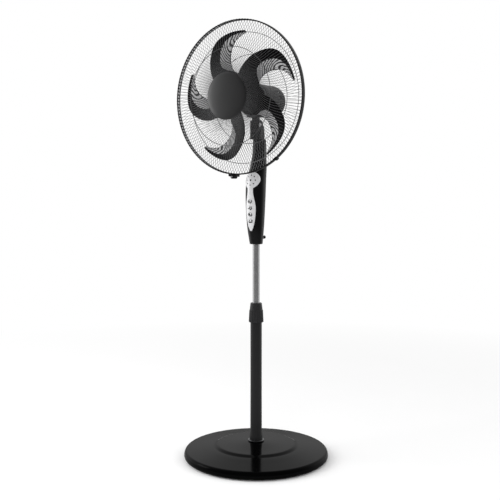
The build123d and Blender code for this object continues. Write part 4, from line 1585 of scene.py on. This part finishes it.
    def stroke(self, name: str, rise: float, marks: Sequence[Sequence[Spot]]) -> bpy.types.Object:
        """Mark on a button, printed sign and painted shadow alike: flat bands along open lines in
        the front view.

        Args:
            name: the new object's name.
            rise: the button's height above the housing's bottom.
            marks: lines of (x, z) from the button's centre.

        Returns:
            The mark as one object.
        """
        points, faces = [], []
        for line in marks:
            start = len(points)
            for index, (x, z) in enumerate(line):
                before = Vector(line[max(index - 1, 0)])
                after = Vector(line[min(index + 1, len(line) - 1)])
                along = (after - before).normalized()
                side = Vector((-along.y, along.x)) * self.sign_stroke / 2
                for sign in (1, -1):
                    spot = Vector((x, z)) + side * sign
                    points += [self.skin(spot.x, rise + spot.y,
                                         self.thick + self.button_proud + growth)
                               for growth in self.sign_print]
            for index in range(len(line) - 1):
                corner = start + index * 4
                for here, there in ((0, 2), (2, 3), (3, 1), (1, 0)):
                    faces.append((corner + here, corner + there,
                                  corner + 4 + there, corner + 4 + here))
            last = start + (len(line) - 1) * 4
            faces.append((start, start + 1, start + 3, start + 2))
            faces.append((last, last + 2, last + 3, last + 1))
        return mesh_object(name, points, faces)

    def sign_arc(self, x: float, radius: float, start: float, end: float) -> list[Spot]:
        """Round stroke of a sign about a point on the button's middle line."""
        return arc((x, 0.0), (radius, radius), start, end, 14)

    def marks(self) -> dict[str, list[list[Spot]]]:
        """Plain generic signs for the four buttons, each with a painted shadow: a curve at its
        right.

        Returns:
            Lines of (x, z) from the button's centre, by button.
        """
        x, small, large = self.sign_x, self.sign_small, self.sign_large
        # curve at each button's right: a painted shadow, in the signs' ink
        edge = self.sign_arc(-x, large, -105, 50)
        return {
            "power": [self.sign_arc(x, small, 130, 410), [(x, 0.0004), (x, 0.0036)], edge],
            "speed": [[(x + side, -0.0030), (x + side, -0.0030 + tall)] for side, tall in
                      ((-0.0030, 0.0028), (0.0, 0.0046), (0.0030, 0.0064))] + [edge],
            "timer": [self.sign_arc(x, small, 90, 449),
                      [(x, 0.0014), (x, 0.0), (x + 0.0012, -0.0006)], edge],
            "swing": [self.sign_arc(x, large, 205, 335), [(x, 0.0034), (x, -0.0010)], edge],
        }

    def build(self) -> None:
        """Makes the panel, the buttons with their marks, the lights and the window."""
        dress(self.plate(), "column", "silver_lacquer", ["control_panel"])
        marks = self.marks()
        for index, name in enumerate(self.names):
            rise = self.button_rise(index)
            button = self.plug(f"button_{name}_cap", (0.0, rise), self.slot_line(0.0),
                               self.button_proud, self.button_rings)
            dress(button, f"{name}_button", "silver_lacquer",
                  [f"button_{name}"])
            mark = self.stroke(f"button_{name}_mark", rise, marks[name])
            dress(mark, f"{name}_button", "icon_ink_and_shade")
        self.lights()

    def light(self, name: str, place: Spot, radius: float) -> bpy.types.Object:
        """Small domed window.

        Args:
            name: the new object's name.
            place: its place round the plate's centre.
            radius: its radius.

        Returns:
            The window.
        """
        line = arc((0.0, 0.0), (radius, radius), 0, 360, self.light_sides)[:-1]
        return self.plug(name, (place[0], self.plate_rise + place[1]), line, self.light_proud,
                         self.light_rings)

    def lights(self) -> None:
        """Makes the lights round the receiver's window."""
        window = self.light("receiver_window_dome", (0.0, 0.0), self.window_radius)
        circle = arc((0.0, 0.0), (self.light_circle, self.light_circle), 0, 360,
                     self.light_count)[:-1]
        domes = [self.light("indicator_domes", place, self.light_radius) for place in circle]
        pipes = joined(domes[0], *domes[1:])
        dress(window, "column", "smoked_clear", ["receiver_window"])
        dress(pipes, "column", "smoked_clear", ["indicator_pipes"])


@dataclass
class Column:
    """The control column with its shells, panel and thumbscrew."""

    housing: Housing = field(default_factory=Housing)
    knob_edge: float = 0.0004

    def build(self) -> None:
        """Makes the shells, the panel and the thumbscrew's knob."""
        panel = Panel(self.housing)
        front = carve(self.housing.shell("column_front_shell", True), panel.cutters())
        dress(front, "column", "gloss_black", ["control_front"])
        rear = self.housing.shell("column_rear_shell", False)
        dress(rear, "column", "gloss_black", ["control_rear"])
        panel.build()
        knob = softened("clamp_knob", "clamp_knob_moulded", self.knob_edge)
        dress(knob, "clamp", "matte_black", ["clamp_knob"])


# ---------------------------------------------------------------- neck and motor
@dataclass
class Neck:
    """Forked neck and the block that tilts in it."""

    edge: float = 0.0022
    block_edge: float = 0.0008

    def build(self) -> None:
        """Makes the neck and the tilt block with moulded edges."""
        neck = softened("neck_housing", "neck_moulded", self.edge)
        dress(neck, "neck", "satin_black", ["neck_housing"])
        block = softened("tilt_block", "tilt_block_moulded", self.block_edge)
        dress(block, "head", "satin_black", ["tilt_block"])


@dataclass
class Motor:
    """Motor housing with a vented dome."""

    place: Matrix
    radius: float = 0.047
    wall: float = 0.0025
    split: float = -0.115
    split_gap: float = 0.0002
    back: float = -0.197
    dome: float = 0.030
    flat_share: float = 0.55
    face: float = -0.0739
    face_edge: float = 0.006
    face_fall: float = 0.008
    face_wall: float = 0.003
    face_round: float = 0.0014
    boss: float = 0.034
    boss_length: float = 0.014
    bearing: float = 0.0091
    vents: int = 16
    vent_start: float = 0.028
    vent_half: float = 0.0016
    vent_share: float = 0.6
    side_vent_half: float = 0.002
    side_vent_depth: float = 0.005
    side_vent_start: float = 0.006
    side_vent_end: float = 0.020
    clear: float = 0.001
    segments: int = 128

    def rear_profile(self, inset: float) -> list[Spot]:
        """Line of the rear shell from its open edge to the axis.

        Args:
            inset: how far the line is moved inwards.

        Returns:
            Points of (radius, height).
        """
        flat = self.radius * self.flat_share
        reach = (self.radius - inset - flat, inset - self.dome)
        return [(self.radius - inset, self.split - self.split_gap),
                *arc((flat, self.back + self.dome), reach, 0, 90, 12), (0.0, self.back + inset)]

    def slot(self, low: Point, high: Point, angle: float) -> bpy.types.Object:
        """Cutting block turned about the motor's axis.

        Args:
            low: its lowest local corner.
            high: its highest local corner.
            angle: the turn in radians.

        Returns:
            The block.
        """
        corners = [(x, y, z) for x in (low[0], high[0]) for y in (low[1], high[1])
                   for z in (low[2], high[2])]
        turn = self.place @ Matrix.Rotation(angle, 4, "Z")
        faces = [(0, 1, 3, 2), (4, 6, 7, 5), (0, 4, 5, 1), (2, 3, 7, 6), (0, 2, 6, 4), (1, 5, 7, 3)]
        return mesh_object("cutter", [turn @ Vector(corner) for corner in corners], faces)

    def vent_cutter(self) -> bpy.types.Object:
        """All the vent slots of the rear shell.

        Returns:
            One cutter for all of them.
        """
        blocks = []
        for step in range(self.vents):
            angle = math.tau * step / self.vents
            blocks.append(self.slot(
                (self.vent_start, -self.vent_half, self.back - self.clear),
                (self.radius, self.vent_half, self.back + self.dome * self.vent_share), angle))
            blocks.append(self.slot(
                (self.radius - self.side_vent_depth, -self.side_vent_half,
                 self.back + self.dome + self.side_vent_start),
                (self.radius + self.clear, self.side_vent_half, self.split - self.side_vent_end),
                angle + math.pi / self.vents))
        return joined(blocks[0], *blocks[1:])

    def front_profile(self) -> list[Spot]:
        """Closed profile of the front shell, with its boss.

        Returns:
            Points of (radius, height).
        """
        crown, inner = self.face + self.boss_length, self.radius - self.wall
        edge = self.split + self.split_gap
        corners = [(self.bearing, crown), (self.boss, crown), (self.boss, self.face),
                   (self.radius - self.face_edge, self.face),
                   (self.radius, self.face - self.face_fall), (self.radius, edge), (inner, edge),
                   (inner, self.face - self.face_fall - self.clear),
                   (self.bearing, self.face - self.face_wall)]
        return rounded(corners, self.face_round)

    def build(self) -> None:
        """Makes the two shells."""
        walls = self.rear_profile(0.0) + self.rear_profile(self.wall)[::-1]
        rear = lathe("motor_rear_shell", walls, self.place, segments=self.segments)
        carve(rear, [self.vent_cutter()])
        dress(rear, "head", "satin_black", ["motor_rear"])
        front = lathe("motor_front_shell", self.front_profile(), self.place,
                      segments=self.segments)
        dress(front, "head", "satin_black", ["motor_front"])


# ---------------------------------------------------------------- guards
@dataclass(frozen=True)
class Crown:
    """Crowned form of one guard.

    Its wires start at the hub's radius and curl through the sweep there. Depth is the hub's
    height over the middle plane, and side is 1 in front of the plane and -1 behind it.
    """

    hub: float
    depth: float
    sweep: float
    side: float
    rings: tuple[float, ...]


@dataclass
class Guards:
    """Front and rear wire guards, the band round them, the cap and the clips."""

    place: Matrix
    front: Crown = Crown(0.0573, 0.053, math.radians(49.0), 1.0, (0.0573, 0.137))
    rear: Crown = Crown(0.048, 0.073, 0.0, -1.0, (0.127, 0.185))
    radius: float = 0.217
    rim: float = 0.2142
    rim_plane: float = 0.0037
    crown_end: float = 0.2126
    boss: float = 0.03405
    sweep_power: float = 2.7
    sweep_end: float = 0.160
    crown_power: float = 2.3
    wire: float = 0.0005
    wire_steps: int = 40
    wire_sides: int = 6
    ring_wire: float = 0.0009
    ring_weld: float = 0.7
    ring_steps: int = 180
    ring_sides: int = 8
    rim_wire: float = 0.0008
    rim_ring: Spot = (0.2150, 0.0044)
    wire_count: int = 144
    plate_thick: float = 0.0018
    plate_margin: float = 0.001
    plate_round: float = 0.0005
    band_width: float = 0.013
    band_wall: float = 0.0012
    band_lip: float = 0.0032
    band_round: float = 0.0008
    bead_depth: float = 0.0014
    bead_width: float = 0.0021
    bead_low: float = -0.0012
    bead_margin: float = 0.0004
    bar_depth: float = 0.0010
    bar_width: float = 0.0035
    bar_sink: float = 0.0002
    # depth and margin of the band's inner wall that gets the painted reflection
    wall_sheen_depth: float = 0.00012
    wall_sheen_margin: float = 0.0005
    cap_radius: float = 0.0655
    cap_seat: float = 0.054
    cap_crest: float = 0.0605
    cap_edge: float = 0.0013
    cap_wall: float = 0.0022
    cap_lip: float = 0.0008
    skirt_gap: float = 0.0013
    skirt_wall: float = 0.002
    skirt_length: float = 0.005
    skirt_floor: float = 0.0006
    clip_edge: float = 0.0006

    def height(self, crown: Crown, radius: float) -> float:
        """Height of a guard over the middle plane.

        Args:
            crown: the guard's form.
            radius: where it is read.

        Returns:
            The height.
        """
        share = min(max((radius - crown.hub) / (self.crown_end - crown.hub), 0.0), 1.0)
        return self.rim_plane + (crown.depth - self.rim_plane) * (1 - share ** self.crown_power)

    def wires(self, tree: PatternTree, crown: Crown) -> bpy.types.NodeSocket:
        """Ring of crowned wires that curl towards the hub.

        Args:
            tree: the pattern's tree.
            crown: the guard's form.

        Returns:
            The wires' geometry.
        """
        size = tree.ask(Count=self.wire_count, Hub=crown.hub, Rim=self.rim, Depth=crown.depth,
                        Sweep=crown.sweep, Wire=self.wire, Plane=self.rim_plane,
                        Side=crown.side, Sweep_End=self.sweep_end,
                        Sweep_Power=self.sweep_power, Crown_Power=self.crown_power)
        graph = tree.graph
        line = graph.node("CurvePrimitiveLine", None, {"End": (1.0, 0.0, 0.0)})
        fine = graph.node("ResampleCurve", None, {"Curve": line.outputs[0],
                                                  "Count": self.wire_steps})
        share = graph.value(graph.node("SplineParameter").outputs["Factor"])
        radius = size["Hub"] + (size["Rim"] - size["Hub"]) * share
        curl = ((size["Sweep_End"] - radius) / (size["Sweep_End"] - size["Hub"])).clamped()
        angle = size["Sweep"] * curl ** size["Sweep_Power"]
        fall = share.clamped() ** size["Crown_Power"]
        height = (size["Plane"] + (size["Depth"] - size["Plane"]) * (1.0 - fall)) * size["Side"]
        spot = tree.xyz(radius * angle.cosine(), radius * angle.sine(), height)
        bent = graph.node("SetPosition", None, {"Geometry": fine.outputs[0], "Position": spot})
        section = graph.node("CurvePrimitiveCircle", None, {"Resolution": self.wire_sides,
                                                            "Radius": size["Wire"]})
        return tree.around(tree.swept(bent.outputs[0], section.outputs[0]), size["Count"])

    def ring(self, tree: PatternTree, radius: float, height: float,
             wire: float) -> bpy.types.NodeSocket:
        """Welded ring of round wire.

        Args:
            tree: the pattern's tree.
            radius: the ring's radius.
            height: its height over the middle plane.
            wire: radius of its wire.

        Returns:
            The ring's geometry.
        """
        graph = tree.graph
        circle = graph.node("CurvePrimitiveCircle", None, {"Resolution": self.ring_steps,
                                                           "Radius": radius})
        lifted = graph.node("SetPosition", None, {"Geometry": circle.outputs[0],
                                                  "Offset": (0.0, 0.0, height)})
        section = graph.node("CurvePrimitiveCircle", None, {"Resolution": self.ring_sides,
                                                            "Radius": wire})
        return tree.swept(lifted.outputs[0], section.outputs[0], capped=False)

    def guard(self, name: str, finish: str, crown: Crown) -> bpy.types.Object:
        """One guard: wires, the rings welded under them and the one at the rim.

        Args:
            name: the new object's name.
            finish: name of the finish.
            crown: the guard's form.

        Returns:
            The guard.
        """
        tree = PatternTree(name)
        pieces = [self.wires(tree, crown)]
        for radius in crown.rings:
            height = self.height(crown, radius) - self.wire - self.ring_wire * self.ring_weld
            pieces.append(self.ring(tree, radius, height * crown.side, self.ring_wire))
        radius, height = self.rim_ring
        pieces.append(self.ring(tree, radius, height * crown.side, self.rim_wire))
        return tree.finish(pieces, finish, name, self.place)

    def hub_plate(self) -> bpy.types.Object:
        """Plate of the rear guard, round the motor's boss.

        Returns:
            The plate.
        """
        low = -self.rear.depth - self.plate_thick / 2
        corners = ring_line(self.boss, self.rear.hub + self.plate_margin, low,
                            low + self.plate_thick)
        return lathe("hub_plate", rounded(corners, self.plate_round), self.place)

    def band(self) -> bpy.types.Object:
        """Band round both rims, with the ends of the front wires bent over it and a painted
        reflection marked on its inner wall.

        Returns:
            The band.
        """
        half = self.band_width / 2
        outer, inner = self.radius, self.radius - self.band_wall
        lip, shelf = self.radius - self.band_lip, half - self.band_wall
        corners = [(outer, -half), (outer, half), (lip, half), (lip, shelf), (inner, shelf),
                   (inner, -shelf), (lip, -shelf), (lip, -half)]
        band = lathe("guard_band_smooth", rounded(corners, self.band_round), self.place,
                     segments=240)
        beads = RingOfRibs(self.wire_count, outer - SINK, self.bead_depth, self.bead_width,
                           self.bead_low, half - self.bead_margin, outer - SINK)
        bars = RingOfRibs(self.wire_count, inner - SINK, self.bar_depth, self.bar_width,
                          -shelf - self.bar_sink, shelf + self.bar_sink, inner - SINK)
        made = joined(band, beads.build("wire_ends", "band_black_and_sheen", self.place),
                      bars.build("wire_bars", "band_black_and_sheen", self.place))
        back = self.place.inverted()
        # points of the inner wall that get the painted reflection
        wall_sheen = []
        for vertex in made.data.vertices:
            spot = back @ vertex.co
            off = abs(math.hypot(spot.x, spot.y) - inner)
            wall_sheen.append(float(off < self.wall_sheen_depth and abs(spot.z) < shelf - self.wall_sheen_margin))
        made.data.attributes.new("wall_sheen", "FLOAT", "POINT").data.foreach_set("value", wall_sheen)
        return made

    def cap(self) -> bpy.types.Object:
        """Dished cap over the middle, bare.

        Returns:
            The cap.
        """
        edge = self.cap_seat + self.cap_edge
        outer = self.front.hub - self.skirt_gap
        inner, foot = outer - self.skirt_wall, self.cap_seat - self.skirt_length
        line = arc((0.0, edge), (self.cap_radius, self.cap_crest - edge), 0, 90, 24)[:-1]
        line += [(0.0, self.cap_crest), (0.0, self.cap_crest - self.cap_wall),
                 (inner, self.cap_seat + self.skirt_floor), (inner, foot), (outer, foot),
                 (outer, self.cap_seat), (self.cap_radius - self.cap_lip, self.cap_seat)]
        return lathe("front_cap_smooth", line, self.place, segments=128)

    def build(self) -> None:
        """Makes the guards and what holds them together."""
        front = self.guard("front_guard_wires", "wire_enamel", self.front)
        dress(front, "head", "wire_enamel", ["front_guard"])
        rear = joined(self.guard("rear_guard_wires", "wire_enamel_painted_light", self.rear), self.hub_plate())
        dress(rear, "head", "wire_enamel_painted_light", ["rear_guard"])
        dress(self.band(), "head", "band_black_and_sheen", ["guard_band"])
        dress(self.cap(), "head", "cap_grey", ["front_cap"])
        clips = softened("guard_clips", "guard_clips_moulded", self.clip_edge)
        dress(clips, "head", "satin_black", ["guard_clips"])


# ---------------------------------------------------------------- blades
@dataclass
class Blades:
    """Five swept blades moulded in one with their hub, and the nut that holds them.

    The outline of a blade is given by the angle, in degrees, and the reach, as a share of its
    length, of its convex and its hollow edge in even steps from hub to tip.
    """

    place: Matrix
    count: int = 5
    plane: float = -0.010
    tip_radius: float = 0.188
    tip_angle: float = math.radians(83.8)
    thick: float = 0.0022
    edge_round: float = 22.0
    tip_round: float = 1.5
    root: float = 0.035
    root_pitch: float = 0.034
    tip_pitch: float = 0.005
    pitch_power: float = 0.8
    root_forward: float = 0.013
    forward_power: float = 1.3
    camber: float = 0.12
    bore: float = 0.00405
    hub_radius: float = 0.038
    hub_front: float = 0.027
    hub_depth: float = 0.042
    hub_wall: float = 0.003
    hub_edge: float = 0.006
    hub_round: float = 0.003
    hub_segments: int = 96
    socket_wall: float = 0.005
    socket_rise: float = 0.008
    convex_angle: tuple[float, ...] = (74.0, 62.5, 46.5, 29.5, 0.5)
    convex_reach: tuple[float, ...] = (0.0, 0.38, 0.72, 0.95, 1.0)
    hollow_angle: tuple[float, ...] = (4.0, 13.0, 22.5, 23.5, 14.0, -1.0)
    hollow_reach: tuple[float, ...] = (0.0, 0.22, 0.30, 0.50, 0.785, 0.965)
    rows: int = 56
    columns: int = 24
    probe: float = 0.0008
    nut_radius: float = 0.015
    nut_length: float = 0.016
    nut_skirt: float = 0.006
    nut_floor: float = 0.0105
    nut_ribs: int = 14
    nut_rib_depth: float = 0.0016
    nut_rib_width: float = 0.0022
    nut_rib_low: float = 0.001
    nut_rib_high: float = 0.0065

    def spot(self, along: float, across: float) -> Vector:
        """Point on the middle sheet of the first blade, before it is turned into place.

        Args:
            along: share from the hub to the tip.
            across: share from the convex edge to the hollow one.

        Returns:
            The point in the head's frame.
        """
        span = self.tip_radius - self.root
        convex = (spline(self.convex_angle, along),
                  self.root + span * spline(self.convex_reach, along))
        hollow = (spline(self.hollow_angle, along),
                  self.root + span * spline(self.hollow_reach, along))
        angle = math.radians(convex[0] + (hollow[0] - convex[0]) * across)
        radius = convex[1] + (hollow[1] - convex[1]) * across
        pitch = self.root_pitch + (self.tip_pitch - self.root_pitch) * along ** self.pitch_power
        middle = self.plane + self.root_forward * (1 - along) ** self.forward_power
        bow = self.camber * pitch * (1 - (2 * across - 1) ** 2)
        return Vector((radius * math.cos(angle), radius * math.sin(angle),
                       middle + pitch * (0.5 - across) + bow))

    def skin(self, along: float, across: float) -> tuple[Vector, Vector]:
        """Point on the middle sheet and what leads from it to the blade's front.

        Args:
            along: share from the hub to the tip.
            across: share from the convex edge to the hollow one.

        Returns:
            The point, and half the blade's thickness there along its normal.
        """
        right = self.spot(along, min(across + self.probe, 1.0))
        left = self.spot(along, max(across - self.probe, 0.0))
        up = self.spot(min(along + self.probe, 1.0), across)
        down = self.spot(max(along - self.probe, 0.0), across)
        normal = (up - down).cross(right - left)
        normal = normal.normalized() if normal.length > 1e-12 else Vector((0, 0, 1))
        edge = min(across, 1 - across, (1 - along) * self.tip_round) * self.edge_round
        swell = math.sqrt(max(1 - max(1 - edge, 0.0) ** 2, 0.0))
        return self.spot(along, across), normal * (self.thick / 2 * swell)

    def sheet(self) -> tuple[list[Vector], list[Face], list[float], list[float]]:
        """One blade with rounded edges.

        Returns:
            Its points, its faces and the points' shares across and along.
        """
        shares = [(bunched(row, self.rows), bunched(column, self.columns))
                  for row in range(self.rows + 1) for column in range(self.columns + 1)]
        skins = [self.skin(along, across) for along, across in shares]
        points = [middle + half * side for side in (1, -1) for middle, half in skins]
        layer = len(shares)
        faces = doubled(grid(self.rows, self.columns), layer)
        faces += [(index, index + layer, index + layer + 1, index + 1)
                  for index in range(self.columns)]
        along, across = ([share[place] for share in shares] * 2 for place in (0, 1))
        return points, faces, across, along

    def hub_profile(self) -> list[Spot]:
        """Closed profile of the hub, a deep cup with a soft front edge.

        Returns:
            Points of (radius, height).
        """
        front, back = self.hub_front, self.hub_front - self.hub_depth
        outer, inner = self.hub_radius, self.hub_radius - self.hub_wall
        socket, foot = self.bore + self.socket_wall, back + self.socket_rise
        corners = [(self.bore, foot), (socket, foot), (socket, front - self.hub_wall),
                   (inner, front - 2 * self.hub_wall), (inner, back), (outer, back),
                   (outer, front - self.hub_edge), (outer - self.hub_edge, front),
                   (self.bore, front)]
        return rounded(corners, self.hub_round)

    def build(self) -> None:
        """Makes the blades and the nut that holds them."""
        blade, sheet_faces, across, along = self.sheet()
        points, faces = turned(self.hub_profile(), self.hub_segments)
        values = {"across": [0.0] * len(points), "along": [0.0] * len(points)}
        for step in range(self.count):
            turn = Matrix.Rotation(self.tip_angle + math.tau * step / self.count, 4, "Z")
            start = len(points)
            points += [turn @ spot for spot in blade]
            faces += [tuple(start + index for index in face) for face in sheet_faces]
            values["across"] += across
            values["along"] += along
        made = mesh_object("fan_blades_moulded", [self.place @ spot for spot in points], faces,
                           math.radians(50), values)
        dress(made, "rotor", "blade_smoke_and_sheen", ["fan_blades"])
        self.spinner()

    def spinner(self) -> None:
        """Makes the domed nut."""
        low, radius = self.hub_front, self.nut_radius
        top, floor = low + self.nut_length, low + self.nut_floor
        line = [(self.bore, low), (radius, low)]
        line += arc((0.0, low + self.nut_skirt), (radius, self.nut_length - self.nut_skirt),
                    0, 90, 10)[:-1]
        line += [(0.0, top), (0.0, floor), (self.bore, floor)]
        dome = lathe("spinner_dome", line, self.place, segments=64)
        ribs = RingOfRibs(self.nut_ribs, radius, self.nut_rib_depth, self.nut_rib_width,
                          low + self.nut_rib_low, low + self.nut_rib_high, radius)
        both = joined(dome, ribs.build("spinner_ribs", "matte_black", self.place))
        dress(both, "rotor", "matte_black", ["spinner"])


# ---------------------------------------------------------------- carried-over pieces
@dataclass
class CarriedPieces:
    """CAD nodes whose shape stays and whose finish is set here."""

    finishes: dict[str, tuple[str, ...]] = field(default_factory=lambda: {
        "matte_black": ("base_tray", "pole_collet", "tube_bush", "tube_socket", "board_switches",
                        "guard_nut"),
        "cast_iron": ("base_weight",),
        "rubber": ("base_feet", "cord_gland"),
        "satin_black": ("pole_socket",),
        "zinc": ("flange_screws", "housing_screws", "swing_motor", "clamp_screw", "swivel_ring",
                 "tilt_bolt", "tilt_nut", "motor_screws", "rim_screw", "rim_nut"),
        "board_green": ("control_board",),
        "die_cast": ("motor_bracket", "motor_stator"),
        "copper": ("motor_coils",),
        "ground_steel": ("motor_rotor", "motor_shaft"),
        "sintered_bronze": ("motor_bearings",),
    })

    def build(self) -> None:
        """Sets the materials of the carried-over nodes."""
        for finish, nodes in self.finishes.items():
            for node in nodes:
                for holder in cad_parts[node].material_slots:
                    holder.material = Finishes.get(finish)
            LOG.info("%s finish on %s", finish, ", ".join(nodes))


def main() -> None:
    """Builds the studio and every sub-assembly."""
    logging.basicConfig(level=logging.INFO, format="%(name)s: %(message)s")
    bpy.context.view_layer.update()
    place = head_frame()
    builders: list[Callable[[], None]] = [
        Studio().build, Base().build, Pole().build, Column().build, Neck().build,
        Motor(place).build, Guards(place).build, Blades(place).build, CarriedPieces().build]
    for build in builders:
        build()


if __name__ == "__main__":
    main()
